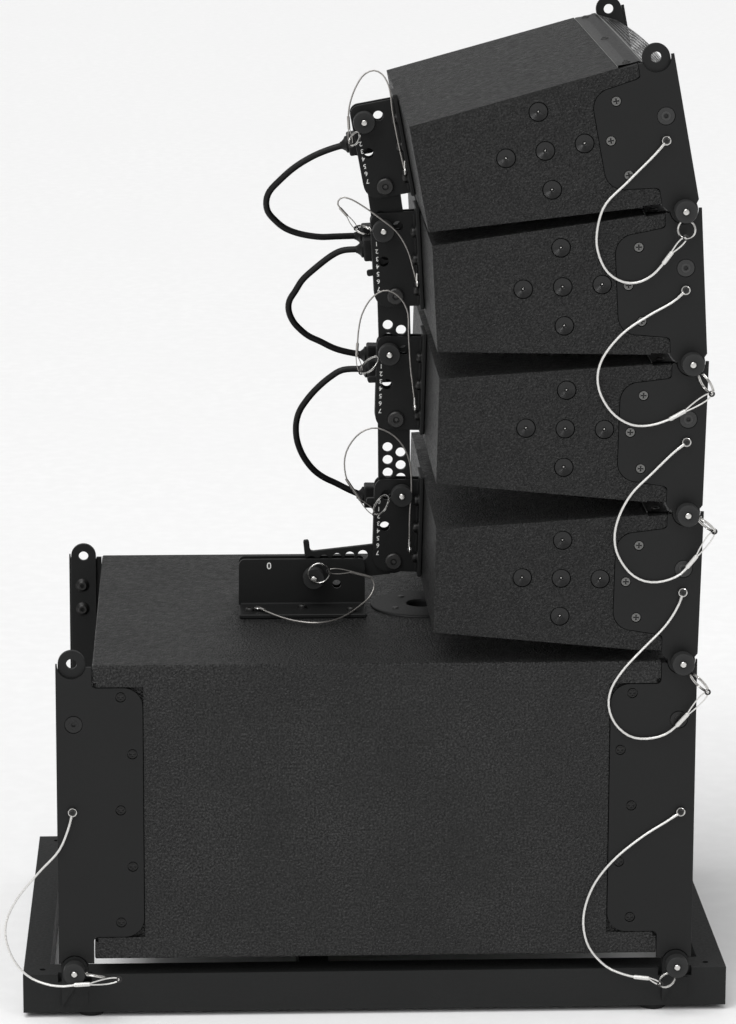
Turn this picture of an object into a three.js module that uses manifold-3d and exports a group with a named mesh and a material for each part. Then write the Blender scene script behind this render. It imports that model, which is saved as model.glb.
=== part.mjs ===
// A ground-stacked line array: a base frame, a subwoofer and four tapered loudspeaker elements, joined
// by side rigging plates and quick-release pins at the front, and by a hole bar on each element's rear.
// Millimetres. +X is the front that the sound leaves by, +Z is up, and Y runs across the width.
import * as THREE from "three";
import { mergeVertices } from "three/addons/utils/BufferGeometryUtils.js";
import Module from "manifold-3d";

const wasm = await Module();
wasm.setup();

// Driving dimensions
const HALF_WIDTH = 295; // outer faces of the rigging plates
const PLATE = 5; // rigging plate thickness
const PLATE_GAP = 0.6; // between a plate and the pocket it sits in
const LUG_OUTER = 289.7; // the lug bars behind the plates
const LUG_INNER = 283.2;
const CABINET_HALF = 294.4; // outer face of a cabinet's side
const STEP_HALF = 281.5; // the cabinet is narrower behind the lug bars
const PITCH = 195.5; // between an element's lower and upper front pins
const LEAN = -2; // how far the upper pin sits behind the lower one
const LUG_R = 17.6;
const POCKET_R = 18.6;
const HOLE_R = 6.75;
const PIN_R = 6.3;
const CURVE = 4; // half the steps in each arc of an outline
const FRONT_EDGE = 20.5; // front edge of a plate, from its pin
const NECK_EDGE = -26; // rear edge of a plate's narrow part
const WIDE_EDGE = -90.5; // rear edge of a plate's wide part
const PIN_X = 391.5; // front and rear pin lines of the subwoofer and the base
const SUB_PIN_Z = 476;
const BASE_PIN_Z = 68;
// Each element's tilt in degrees, front up, from the lowest to the topmost
const TILTS = { 4: -1.3, 3: -1.3, 2: 3.2, 1: 10.7 };

const metal = (color, roughness) => new THREE.MeshStandardMaterial({ color, roughness, metalness: 0.5 });
const paint = (color, roughness) => new THREE.MeshStandardMaterial({ color, roughness, metalness: 0 });
const textured = paint(0x1a1b1c, 0.75);
const satin = metal(0x202224, 0.5);
const grilleBlack = metal(0x2a2b2d, 0.55);
const pinBlack = paint(0x232628, 0.4);
const coneBlack = paint(0x141415, 0.8);
const cableRubber = paint(0x0d0d0e, 0.6);

const root = new THREE.Group();

// --- Solids -----------------------------------------------------------------------------------

function toSolid(geometry) {
  const bare = geometry.clone();
  bare.deleteAttribute("normal");
  bare.deleteAttribute("uv");
  const merged = mergeVertices(bare, 1e-3);
  return new wasm.Manifold(
    new wasm.Mesh({
      numProp: 3,
      vertProperties: merged.attributes.position.array,
      triVerts: new Uint32Array(merged.index.array),
    }),
  );
}

function toGeometry(solid) {
  const mesh = solid.getMesh();
  const geometry = new THREE.BufferGeometry();
  geometry.setAttribute("position", new THREE.BufferAttribute(mesh.vertProperties, 3));
  geometry.setIndex(new THREE.BufferAttribute(mesh.triVerts, 1));
  geometry.computeVertexNormals();
  return geometry;
}

function join(...geometries) {
  return toGeometry(geometries.map(toSolid).reduce((sum, next) => sum.add(next)));
}

function cut(body, ...tools) {
  return toGeometry(tools.map(toSolid).reduce((rest, tool) => rest.subtract(tool), toSolid(body)));
}

// A shape drawn in X and Z, extruded from y0 to y1, with round holes given as X, Z and radius
function slab(shape, y0, y1, holes = []) {
  const geometry = new THREE.ExtrudeGeometry(shape, {
    depth: y1 - y0,
    bevelEnabled: false,
    curveSegments: CURVE,
  });
  geometry.rotateX(Math.PI / 2).translate(0, y1, 0);
  const bores = holes.map(([x, z, radius]) => barY(radius, y0 - 1, y1 + 1, x, z, 12));
  return bores.length ? cut(geometry, ...bores) : geometry;
}

function block(x0, x1, y0, y1, z0, z1) {
  const geometry = new THREE.BoxGeometry(x1 - x0, y1 - y0, z1 - z0);
  return geometry.translate((x0 + x1) / 2, (y0 + y1) / 2, (z0 + z1) / 2);
}

// A round bar across the width
function barY(radius, y0, y1, x, z, sides = 16) {
  return new THREE.CylinderGeometry(radius, radius, y1 - y0, sides).translate(x, (y0 + y1) / 2, z);
}

function polygon(points) {
  return new THREE.Shape(points.map(([x, z]) => new THREE.Vector2(x, z)));
}

// A turned solid about X from pairs of radius and distance along X
function turnedX(profile, sides) {
  const lathe = new THREE.LatheGeometry(
    profile.map(([r, a]) => new THREE.Vector2(r, a)),
    sides,
  );
  return lathe.rotateZ(-Math.PI / 2);
}

function add(group, name, geometry, material) {
  const mesh = new THREE.Mesh(geometry, material);
  mesh.name = name;
  group.add(mesh);
  return mesh;
}

// A group on one side of the stack: the near side is drawn at negative Y and the other is its mirror image
function sideGroup(parent, side) {
  const group = new THREE.Group();
  group.scale.y = side === "left" ? 1 : -1;
  parent.add(group);
  return group;
}

// --- Quick-release pins -----------------------------------------------------------------------

// A pin whose head stands off at negative Y from the face at y = face; its shank ends at y = end
function quickPin(face, end, x, z) {
  const neckR = 9;
  const headR = 14.6;
  const profile = [
    [0, end],
    [PIN_R, end],
    [PIN_R, face - 0.4],
    [neckR, face - 0.4],
    [neckR, face - 8],
    [headR, face - 8],
    [headR, face - 22],
    [0, face - 23],
  ].reverse();
  const points = profile.map(([r, a]) => new THREE.Vector2(r, a));
  return new THREE.LatheGeometry(points, 12).translate(x, 0, z);
}

// --- Loudspeaker elements ---------------------------------------------------------------------

const REAR = -321; // rear face of an element's cabinet
const CABINET_FRONT = -12;
const FLANGE_REAR = -51; // where the grille's flanges start
const FLANGE_FRONT = -24;
const WALL = 15;
const topAt = (x) => 168 + 0.087 * (x - REAR);
const bottomAt = (x) => 32 - 0.0734 * (x - REAR);

// The outer plate of an element, with a tongue round its lower pin and a pocket round its upper one
function elementPlateShape() {
  const corner = 25;
  const wideTop = 171;
  const wideBottom = 36;
  const slope = 5; // the wide part's edges follow the cabinet's taper
  const shape = new THREE.Shape();
  shape.moveTo(FRONT_EDGE, 8);
  shape.lineTo(FRONT_EDGE, PITCH + 1);
  const start = Math.asin(1 / POCKET_R);
  const end = -Math.PI + Math.asin(3.3 / POCKET_R);
  shape.absarc(LEAN, PITCH, POCKET_R, start, end, true);
  shape.lineTo(NECK_EDGE, PITCH - 3.3);
  shape.lineTo(NECK_EDGE, wideTop + 6);
  shape.lineTo(NECK_EDGE - 4, wideTop + 2);
  shape.lineTo(WIDE_EDGE + corner, wideTop - slope + 2);
  shape.absarc(WIDE_EDGE + corner, wideTop - slope + 2 - corner, corner, Math.PI / 2, Math.PI, false);
  shape.absarc(WIDE_EDGE + corner, wideBottom + slope - 2 + corner, corner, Math.PI, 1.5 * Math.PI, false);
  shape.lineTo(NECK_EDGE - 4, wideBottom - 2);
  shape.lineTo(NECK_EDGE, wideBottom - 6);
  shape.lineTo(NECK_EDGE, 8);
  shape.lineTo(-19, 1.2);
  shape.absarc(0, 0, LUG_R, Math.PI - 0.068, 2 * Math.PI + 0.35, false);
  return shape;
}

// The pocket in the cabinet's side under the wide part of an element's plate
function elementPocketShape() {
  const margin = 0.8;
  const corner = 25;
  const shape = new THREE.Shape();
  shape.moveTo(NECK_EDGE + 2, 179);
  shape.lineTo(NECK_EDGE - 4 - margin, 173 + margin);
  shape.lineTo(WIDE_EDGE + corner, 168 + margin);
  shape.absarc(WIDE_EDGE + corner, 168 - corner, corner + margin, Math.PI / 2, Math.PI, false);
  shape.absarc(WIDE_EDGE + corner, 39 + corner, corner + margin, Math.PI, 1.5 * Math.PI, false);
  shape.lineTo(NECK_EDGE - 4 - margin, 34 - margin);
  shape.lineTo(NECK_EDGE + 2, 27);
  return shape;
}

function elementPlate() {
  const outer = slab(elementPlateShape(), -HALF_WIDTH, -HALF_WIDTH + PLATE, [[0, 0, HOLE_R]]);
  const lug = new THREE.Shape();
  lug.moveTo(LEAN + LUG_R, 26);
  lug.lineTo(LEAN + LUG_R, PITCH);
  lug.absarc(LEAN, PITCH, LUG_R, 0, Math.PI, false);
  lug.lineTo(LEAN - LUG_R, 26);
  const seam = block(LEAN - LUG_R, LEAN + LUG_R, -LUG_OUTER - 1, -LUG_OUTER + 1, 26, 170);
  return join(outer, slab(lug, -LUG_OUTER, -LUG_INNER, [[LEAN, PITCH, HOLE_R]]), seam);
}

function elementCabinet() {
  const recess = 2.1; // the grille's flanges lie flush in it
  const outline = [
    [REAR, bottomAt(REAR)],
    [FLANGE_REAR, bottomAt(FLANGE_REAR)],
    [FLANGE_REAR, bottomAt(FLANGE_REAR) + recess],
    [FLANGE_FRONT, bottomAt(FLANGE_FRONT) + recess],
    [CABINET_FRONT, bottomAt(CABINET_FRONT) + 11],
    [CABINET_FRONT, topAt(CABINET_FRONT) - 11],
    [FLANGE_FRONT, topAt(FLANGE_FRONT) - recess],
    [FLANGE_REAR, topAt(FLANGE_REAR) - recess],
    [FLANGE_REAR, topAt(FLANGE_REAR)],
    [REAR, topAt(REAR)],
  ];
  const cavity = [
    [REAR + WALL, bottomAt(REAR) + WALL],
    [0, bottomAt(0) + WALL],
    [0, topAt(0) - WALL],
    [REAR + WALL, topAt(REAR) - WALL],
  ];
  const tools = [slab(polygon(cavity), -268, 268)];
  for (const sign of [-1, 1]) {
    const far = sign * 300;
    const step = sign * STEP_HALF;
    tools.push(block(NECK_EDGE - 0.5, 60, Math.min(step, far), Math.max(step, far), -20, 230));
    const floor = sign * (HALF_WIDTH - PLATE - PLATE_GAP);
    tools.push(slab(elementPocketShape(), Math.min(floor, far), Math.max(floor, far)));
  }
  return cut(slab(polygon(outline), -CABINET_HALF, CABINET_HALF), ...tools);
}

// A folded sheet of steel: flanges above and below, a bevel, and a front that bows forward in plan
function bowedGrille(outline, halfWidth, bowFrom, bow) {
  const steps = 8;
  const shape = polygon(outline);
  const depth = 2 * halfWidth;
  const geometry = new THREE.ExtrudeGeometry(shape, { depth, steps, bevelEnabled: false });
  geometry.rotateX(Math.PI / 2).translate(0, halfWidth, 0);
  const position = geometry.attributes.position;
  for (let i = 0; i < position.count; i++) {
    const share = Math.max(0, Math.min(1, (position.getX(i) - bowFrom) / 40));
    const across = position.getY(i) / halfWidth;
    position.setX(i, position.getX(i) + share * bow * (1 - across * across));
  }
  return geometry;
}

function elementGrille() {
  const sheet = 1.6;
  const nose = 13; // the front face at the grille's ends
  const top = (x) => topAt(x) - 0.2;
  const bottom = (x) => bottomAt(x) + 0.2;
  const outline = [
    [FLANGE_REAR + 0.5, top(FLANGE_REAR + 0.5)],
    [FLANGE_REAR + 0.5, top(FLANGE_REAR + 0.5) - sheet],
    [FLANGE_FRONT, top(FLANGE_FRONT) - sheet],
    [nose - 6, 175],
    [nose - sheet, 168],
    [nose - sheet, 34],
    [nose - 6, 27],
    [FLANGE_FRONT, bottom(FLANGE_FRONT) + sheet],
    [FLANGE_REAR + 0.5, bottom(FLANGE_REAR + 0.5) + sheet],
    [FLANGE_REAR + 0.5, bottom(FLANGE_REAR + 0.5)],
    [FLANGE_FRONT, bottom(FLANGE_FRONT)],
    [nose - 5, 25],
    [nose, 32],
    [nose, 170],
    [nose - 5, 177],
    [FLANGE_FRONT, top(FLANGE_FRONT)],
  ].reverse();
  return bowedGrille(outline, 280, FLANGE_FRONT, 9);
}

// A cone driver facing +X, its flange's front at x = 0, scaled from its flange's radius
function coneDriver(radius, sides) {
  const profile = [
    [0, -1.15],
    [0.58, -1.15],
    [0.58, -0.75],
    [0.88, -0.12],
    [0.88, -0.06],
    [1, -0.06],
    [1, 0],
    [0.86, 0],
    [0.3, -0.38],
    [0, -0.26],
  ];
  return turnedX(
    profile.map(([r, a]) => [r * radius, a * radius]),
    sides,
  );
}

// The baffle of an element with its two cone drivers and, between them, the horn and its driver
function driverModule() {
  const face = -34;
  const back = -46;
  const middle = (topAt(face) + bottomAt(face)) / 2;
  const half = (topAt(back) - bottomAt(back)) / 2 - WALL - 1;
  const baffle = block(back, face, -266, 266, middle - half, middle + half);
  const coneR = 70;
  const drivers = [-170, 170].map((y) => coneDriver(coneR, 12).translate(face + 1, y, middle));
  const bores = [-170, 170].map((y) =>
    new THREE.CylinderGeometry(60, 60, 30, 12).rotateZ(Math.PI / 2).translate(face, y, middle),
  );
  const horn = block(face - 90, face - 2, -62, 62, middle - 60, middle + 60);
  const throat = new THREE.CylinderGeometry(15, 78, 88, 4, 1, false, Math.PI / 4);
  throat.scale(1, 1, 0.7).rotateZ(Math.PI / 2).translate(face - 38, 0, middle);
  const motor = new THREE.CylinderGeometry(48, 48, 50, 12).rotateZ(Math.PI / 2).translate(face - 110, 0, middle);
  return join(cut(join(cut(baffle, ...bores), horn, motor), throat), ...drivers);
}

// --- Rear rigging of an element ---------------------------------------------------------------

const CHEEK_IN = 7; // inner face of the bracket's cheeks, either side of the middle
const CHEEK_OUT = 12;
const FOOT_HALF = 33; // the bracket's foot leaves room for the cable plugs beside it
const PIVOT = [-358.5, 55.5]; // the hole bar's pivot bolt
const REAR_HOLES = { outer: [-370.5, 146.5], inner: [-350.5, 149.5] };
const DEGREE_HOLE = [-371.5, 103];

function rearBracket() {
  const cheek = new THREE.Shape();
  cheek.moveTo(REAR - 3, 41);
  cheek.lineTo(REAR - 3, 168);
  cheek.lineTo(-374.5, 168);
  cheek.absarc(-374.5, 156, 12, Math.PI / 2, Math.PI, false);
  cheek.absarc(-366.5, 61, 20, Math.PI, 1.5 * Math.PI, false);
  const centres = [REAR_HOLES.outer, REAR_HOLES.inner, DEGREE_HOLE, PIVOT];
  const holes = centres.map(([x, z]) => [x, z, HOLE_R]);
  const foot = block(REAR - 6.3, REAR - 0.4, -FOOT_HALF, FOOT_HALF, 39, 176);
  return join(foot, slab(cheek, -CHEEK_OUT, -CHEEK_IN, holes), slab(cheek, CHEEK_IN, CHEEK_OUT, holes));
}

const BAR_HOLES = { rear: { x: -11, z: -40.1, count: 5 }, front: { x: 6.5, z: -47.6, count: 4 } };
const BAR_HOLE_STEP = 17.5;
const BAR_HALF = 4;

function barHole(column, index) {
  return [BAR_HOLES[column].x, BAR_HOLES[column].z - BAR_HOLE_STEP * index];
}

// The hole bar hanging from its pivot bolt at the origin, with a hook at its lower end
function linkBar() {
  const shape = new THREE.Shape();
  shape.moveTo(19.2, -6);
  shape.absarc(-0.8, 0, 20, -0.3, Math.PI + 0.3, false);
  shape.lineTo(-23.8, -8);
  shape.lineTo(-23.8, -110);
  shape.lineTo(-38, -110);
  shape.lineTo(-40, -112);
  shape.lineTo(-40, -116);
  shape.lineTo(-38, -118);
  shape.lineTo(16, -118);
  shape.lineTo(19.2, -114);
  const holes = [];
  for (const column of Object.keys(BAR_HOLES)) {
    for (let i = 0; i < BAR_HOLES[column].count; i++) {
      holes.push([...barHole(column, i), HOLE_R]);
    }
  }
  const bolt = barY(6.2, -CHEEK_OUT - 1, CHEEK_OUT + 1, 0, 0, 12);
  const heads = [-1, 1].map((sign) => {
    const near = sign * (CHEEK_OUT + 0.4);
    const far = sign * (CHEEK_OUT + 6);
    return barY(11, Math.min(near, far), Math.max(near, far), 0, 0, 12);
  });
  return join(slab(shape, -BAR_HALF, BAR_HALF, holes), bolt, ...heads);
}

// --- Placing the elements ---------------------------------------------------------------------

const frames = {};
let pin = new THREE.Vector2(PIN_X, SUB_PIN_Z);
for (const n of [4, 3, 2, 1]) {
  const tilt = THREE.MathUtils.degToRad(TILTS[n]);
  frames[n] = { origin: pin.clone(), tilt };
  pin = toWorld(n, LEAN, PITCH);
}

// A point of an element's own X and Z in the stack's X and Z
function toWorld(n, x, z) {
  const { origin, tilt } = frames[n];
  return new THREE.Vector2(x, z).rotateAround(new THREE.Vector2(0, 0), tilt).add(origin);
}

const S1 = new THREE.Vector2(-73.5, 520.5); // the pin that holds the lowest hole bar on the subwoofer

// How far a hole bar turns from hanging straight, so that one of its holes meets the pin below
function barAngle(n, target, column, index) {
  const pivot = toWorld(n, ...PIVOT);
  const wanted = target.clone().sub(pivot).angle();
  const drawn = new THREE.Vector2(...barHole(column, index)).angle();
  return wanted - drawn;
}

const barAngles = {
  1: barAngle(1, toWorld(2, ...REAR_HOLES.outer), "rear", 1),
  2: barAngle(2, toWorld(3, ...REAR_HOLES.outer), "rear", 2),
  3: barAngle(3, toWorld(4, ...REAR_HOLES.inner), "front", 3),
  4: barAngle(4, S1, "front", 3),
};

for (const n of [1, 2, 3, 4]) {
  const group = new THREE.Group();
  group.position.set(frames[n].origin.x, 0, frames[n].origin.y);
  group.rotation.y = -frames[n].tilt;
  root.add(group);
  add(group, `element_${n}_cabinet`, elementCabinet(), textured);
  add(group, `element_${n}_grille`, elementGrille(), grilleBlack);
  add(group, `element_${n}_driver_module`, driverModule(), coneBlack);
  add(group, `element_${n}_rear_bracket`, rearBracket(), satin);
  for (const side of ["left", "right"]) {
    const sided = sideGroup(group, side);
    add(sided, `element_${n}_plate_${side}`, elementPlate(), satin);
    add(sided, `element_${n}_front_pin_${side}`, quickPin(-HALF_WIDTH, -282.2, 0, 0), pinBlack);
  }
  const rearHole = REAR_HOLES[n === 4 ? "inner" : "outer"];
  const rearPin = quickPin(-CHEEK_OUT, -BAR_HALF - 0.6, ...rearHole);
  add(group, `element_${n}_rear_pin`, rearPin, pinBlack);
  const bar = new THREE.Group();
  const pivot = toWorld(n, ...PIVOT);
  bar.position.set(pivot.x, 0, pivot.y);
  bar.rotation.y = -barAngles[n];
  root.add(bar);
  add(bar, `element_${n}_link_bar`, linkBar(), satin);
}

// --- Subwoofer --------------------------------------------------------------------------------

const SUB_TOP = 475;
const SUB_BOTTOM = 81;
const SUB_REAR = -365;
const SUB_FRONT = 385;
const SUB_WIDE = 301; // inner edge of a subwoofer plate's wide part
const SUB_WIDE_Z = [111, 445]; // and its bottom and top
const SUB_NECK = 365.5;
const CUP_X = 72;
const SUB_CONE_R = 130;
const SUB_CONE_Y = 136;

// The front plate of the subwoofer; the rear one is its mirror image
function subPlate() {
  const corner = 25;
  const wideTop = SUB_WIDE_Z[1];
  const wideBottom = SUB_WIDE_Z[0];
  const tabTop = 17;
  const shape = new THREE.Shape();
  const edge = PIN_X + FRONT_EDGE;
  const bottom = 75;
  const start = Math.asin(1 / POCKET_R);
  shape.moveTo(edge, bottom);
  shape.lineTo(edge, SUB_PIN_Z + 1);
  shape.absarc(PIN_X, SUB_PIN_Z, POCKET_R, start, -Math.PI + Math.asin(3.3 / POCKET_R), true);
  shape.lineTo(SUB_NECK + 0.6, SUB_PIN_Z - 3.3);
  shape.lineTo(SUB_NECK + 0.6, wideTop + 5);
  shape.lineTo(SUB_NECK - 4, wideTop);
  shape.absarc(SUB_WIDE + corner, wideTop - corner, corner, Math.PI / 2, Math.PI, false);
  shape.absarc(SUB_WIDE + corner, wideBottom + corner, corner, Math.PI, 1.5 * Math.PI, false);
  shape.lineTo(SUB_NECK - 4, wideBottom);
  shape.lineTo(SUB_NECK + 0.6, wideBottom - 5);
  shape.lineTo(SUB_NECK + 0.6, bottom);
  const side = Math.asin((bottom - BASE_PIN_Z) / (tabTop + 1));
  shape.absarc(PIN_X, BASE_PIN_Z, tabTop + 1, Math.PI - side, side, true);
  const lug = new THREE.Shape();
  lug.moveTo(PIN_X + LUG_R, BASE_PIN_Z);
  lug.absarc(PIN_X, SUB_PIN_Z, LUG_R, 0, Math.PI, false);
  lug.absarc(PIN_X, BASE_PIN_Z, LUG_R, Math.PI, 2 * Math.PI, false);
  const holes = [SUB_PIN_Z, BASE_PIN_Z].map((z) => [PIN_X, z, HOLE_R]);
  const outer = slab(shape, -HALF_WIDTH, -HALF_WIDTH + PLATE);
  const seam = block(PIN_X - LUG_R, PIN_X + LUG_R, -LUG_OUTER - 1, -LUG_OUTER + 1, 92, SUB_TOP - 30);
  return join(outer, slab(lug, -LUG_OUTER, -LUG_INNER, holes), seam);
}

function subCabinet() {
  const wall = 18;
  const mouth = 118;
  const baffleBack = SUB_FRONT - 22;
  const cavity = block(SUB_REAR + wall, baffleBack, -268, 268, SUB_BOTTOM + wall, SUB_TOP - wall);
  const tools = [cavity];
  const middle = (SUB_TOP + SUB_BOTTOM) / 2;
  for (const sign of [-1, 1]) {
    const far = sign * 300;
    const step = sign * STEP_HALF;
    const floor = sign * (HALF_WIDTH - PLATE - PLATE_GAP);
    tools.push(block(SUB_NECK, 430, Math.min(step, far), Math.max(step, far), 60, SUB_TOP + 20));
    const y0 = Math.min(floor, far);
    const y1 = Math.max(floor, far);
    const [low, high] = SUB_WIDE_Z;
    for (const end of [-1, 1]) {
      const neck = end * SUB_NECK;
      const wide = end * (SUB_WIDE - 1);
      const past = neck + 5 * end;
      tools.push(block(Math.min(wide, past), Math.max(wide, past), y0, y1, low - 1, high + 1));
      tools.push(block(neck - 5, neck + 5, y0, y1, low - 7, high + 7));
    }
    const bore = new THREE.CylinderGeometry(mouth, mouth, 60, 16).rotateZ(Math.PI / 2);
    tools.push(bore.translate(SUB_FRONT, sign * SUB_CONE_Y, middle));
  }
  const cupBore = new THREE.CylinderGeometry(24.5, 24.5, 60, 16).rotateX(Math.PI / 2);
  tools.push(cupBore.translate(CUP_X, 0, SUB_TOP));
  return cut(block(SUB_REAR, SUB_FRONT, -CABINET_HALF, CABINET_HALF, SUB_BOTTOM, SUB_TOP), ...tools);
}

function subGrille() {
  const sheet = 1.6;
  const back = SUB_FRONT + 0.6;
  const nose = SUB_FRONT + 18;
  const outline = [
    [back, SUB_TOP - 2],
    [back, SUB_TOP - 2 - sheet],
    [nose - 6, SUB_TOP - 8 - sheet],
    [nose - sheet, SUB_TOP - 16],
    [nose - sheet, SUB_BOTTOM + 16],
    [nose - 6, SUB_BOTTOM + 8 + sheet],
    [back, SUB_BOTTOM + 2 + sheet],
    [back, SUB_BOTTOM + 2],
    [nose - 5, SUB_BOTTOM + 7],
    [nose, SUB_BOTTOM + 15],
    [nose, SUB_TOP - 15],
    [nose - 5, SUB_TOP - 7],
  ].reverse();
  return bowedGrille(outline, 280, back, 6);
}

// The socket for a speaker pole: a round flange with a tube below it
function poleCup() {
  const bore = 17.6;
  const tubeR = 23.6;
  const flangeR = 68;
  const rim = SUB_TOP + 3;
  const floor = SUB_TOP - 70;
  const profile = [
    [0, floor],
    [bore, floor],
    [bore, rim - 1.4],
    [bore + 2.4, rim],
    [flangeR - 2, rim],
    [flangeR, rim - 1.4],
    [flangeR, SUB_TOP + 0.3],
    [tubeR, SUB_TOP + 0.3],
    [tubeR, floor - 6],
    [0, floor - 6],
  ].reverse();
  const points = profile.map(([r, z]) => new THREE.Vector2(r, z));
  return new THREE.LatheGeometry(points, 24).rotateX(Math.PI / 2).translate(CUP_X, 0, 0);
}

// The channel on top of the subwoofer that takes the lowest hole bar
function subTopBracket() {
  const left = -174;
  const right = -4;
  const top = SUB_TOP + 68;
  const foot = block(left, right, -68, 68, SUB_TOP + 0.3, SUB_TOP + 6);
  const cheek = new THREE.Shape();
  cheek.moveTo(right, SUB_TOP + 5);
  cheek.absarc(right - 8, top - 8, 8, 0, Math.PI / 2, false);
  cheek.absarc(left + 8, top - 8, 8, Math.PI / 2, Math.PI, false);
  cheek.lineTo(left, SUB_TOP + 5);
  const holes = [[S1.x, S1.y, HOLE_R], [-42, SUB_TOP + 33, 6]];
  return join(foot, slab(cheek, -CHEEK_OUT, -CHEEK_IN, holes), slab(cheek, CHEEK_IN, CHEEK_OUT, holes));
}

add(root, "sub_cabinet", subCabinet(), textured);
add(root, "sub_grille", subGrille(), grilleBlack);
add(root, "sub_pole_cup", poleCup(), satin);
add(root, "sub_top_bracket", subTopBracket(), satin);
add(root, "sub_top_bracket_pin", quickPin(-CHEEK_OUT, -BAR_HALF - 0.6, S1.x, S1.y), pinBlack);
for (const side of ["left", "right"]) {
  const sided = sideGroup(root, side);
  add(sided, `sub_front_plate_${side}`, subPlate(), satin);
  const rear = add(sided, `sub_rear_plate_${side}`, subPlate(), satin);
  rear.scale.x = -1;
  const cone = coneDriver(SUB_CONE_R, 16).translate(SUB_FRONT + 8.2, -SUB_CONE_Y, (SUB_TOP + SUB_BOTTOM) / 2);
  add(sided, `sub_woofer_${side}`, cone, coneBlack);
  for (const [end, x] of [["front", PIN_X], ["rear", -PIN_X]]) {
    const basePin = quickPin(-HALF_WIDTH, -282.2, x, BASE_PIN_Z);
    add(sided, `base_${end}_pin_${side}`, basePin, pinBlack);
  }
}

// --- Base frame -------------------------------------------------------------------------------

function baseFrame() {
  const half = 459;
  const railOut = HALF_WIDTH - PLATE;
  const railIn = 250;
  const low = 7;
  const high = 58.7;
  const parts = [];
  const tools = [];
  for (const sign of [-1, 1]) {
    const y0 = Math.min(sign * railOut, sign * railIn);
    const y1 = Math.max(sign * railOut, sign * railIn);
    parts.push(block(-half, half, y0, y1, low, high));
    // Room behind each tab for the subwoofer's lower lug
    for (const x of [-PIN_X, PIN_X]) {
      const outer = Math.min(sign * (railOut + 1), sign * STEP_HALF);
      const inner = Math.max(sign * (railOut + 1), sign * STEP_HALF);
      tools.push(block(x - 22, x + 22, outer, inner, 48, high + 1));
    }
  }
  const tabs = [];
  for (const x of [-PIN_X, PIN_X]) {
    const tab = new THREE.Shape();
    tab.moveTo(x + 17, 16);
    tab.absarc(x, BASE_PIN_Z, 17, 0, Math.PI, false);
    tab.lineTo(x - 17, 16);
    const holes = [[x, BASE_PIN_Z, HOLE_R]];
    tabs.push(slab(tab, -HALF_WIDTH, -railOut, holes));
    tabs.push(slab(tab, railOut, HALF_WIDTH, holes));
    for (const sign of [-1, 1]) {
      parts.push(block(x - 17, x + 17, sign * railOut - 1, sign * railOut + 1, 17, 46));
    }
  }
  for (const [x0, x1] of [[-half, -half + 34], [half - 34, half], [-99, -61]]) {
    parts.push(block(x0, x1, -railIn - 1, railIn + 1, low, high));
  }
  const feet = [];
  for (const x of [-371, 365]) {
    for (const y of [-270, 270]) {
      const foot = new THREE.CylinderGeometry(20, 15, low + 0.5, 4, 1, false, Math.PI / 4);
      feet.push(foot.rotateX(Math.PI / 2).translate(x, y, (low + 0.5) / 2));
    }
  }
  return join(cut(join(...parts), ...tools), ...tabs, ...feet);
}

add(root, "base_frame", baseFrame(), satin);

// --- Speaker cables ---------------------------------------------------------------------------

const CABLE_R = 4.35;
const PLUG_OUT = { y: 48, z: 111.5 }; // socket that feeds the next element down
const PLUG_IN = { y: 84, z: 124 };
const PLUG_LENGTH = 80;

// From each upper element's output plug to the input plug of the element below, as it hangs
const ROUTES = {
  1: [
    [-50, 51, 1091], [-73, 54, 1081], [-97, 56, 1066], [-117, 59, 1048], [-131, 62, 1032],
    [-135, 65, 1019], [-133, 67, 1005], [-123, 70, 992], [-110, 73, 981], [-91, 76, 973],
    [-63, 78, 968], [-41, 81, 968],
  ],
  2: [
    [-32, 51, 954], [-45, 54, 948], [-73, 56, 926], [-87, 59, 912], [-96, 62, 897],
    [-104, 65, 883], [-105, 67, 870], [-99, 70, 854], [-88, 73, 841], [-77, 76, 832],
    [-63, 78, 825], [-39, 81, 813],
  ],
  3: [
    [-33, 51, 790], [-49, 54, 780], [-67, 56, 764], [-81, 59, 747], [-91, 62, 730],
    [-95, 65, 712], [-94, 67, 692], [-88, 70, 673], [-79, 73, 657], [-68, 76, 644],
    [-56, 78, 635], [-43, 81, 628],
  ],
};

function plug(n, socket) {
  const front = REAR - 0.5;
  const body = new THREE.CylinderGeometry(13, 13, PLUG_LENGTH - 14, 10).rotateZ(Math.PI / 2);
  const nut = new THREE.CylinderGeometry(14.5, 10, 16, 10).rotateZ(-Math.PI / 2);
  body.translate(front - (PLUG_LENGTH - 14) / 2, socket.y, socket.z);
  nut.translate(front - PLUG_LENGTH + 7, socket.y, socket.z);
  const { origin, tilt } = frames[n];
  return [body, nut].map((part) => part.rotateY(-tilt).translate(origin.x, 0, origin.y));
}

function tube(points, radius, sides, steps) {
  const curve = new THREE.CatmullRomCurve3(points, false, "centripetal");
  const section = new THREE.Shape().absarc(0, 0, radius, 0, 2 * Math.PI, false);
  return new THREE.ExtrudeGeometry(section, { steps, extrudePath: curve, curveSegments: sides / 2 });
}

function speakerCable(n) {
  const upper = toWorld(n, REAR - PLUG_LENGTH + 4, PLUG_OUT.z);
  const lower = toWorld(n + 1, REAR - PLUG_LENGTH + 4, PLUG_IN.z);
  const points = [
    new THREE.Vector3(upper.x, PLUG_OUT.y, upper.y),
    ...ROUTES[n].map((p) => new THREE.Vector3(...p)),
    new THREE.Vector3(lower.x, PLUG_IN.y, lower.y),
  ];
  return join(tube(points, CABLE_R, 8, 20), ...plug(n, PLUG_OUT), ...plug(n + 1, PLUG_IN));
}

for (const n of [1, 2, 3]) {
  add(root, `speaker_cable_${n}`, speakerCable(n), cableRubber);
}

export default root;
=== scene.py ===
import math

import bmesh
import bpy
from mathutils import Matrix, Vector


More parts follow.
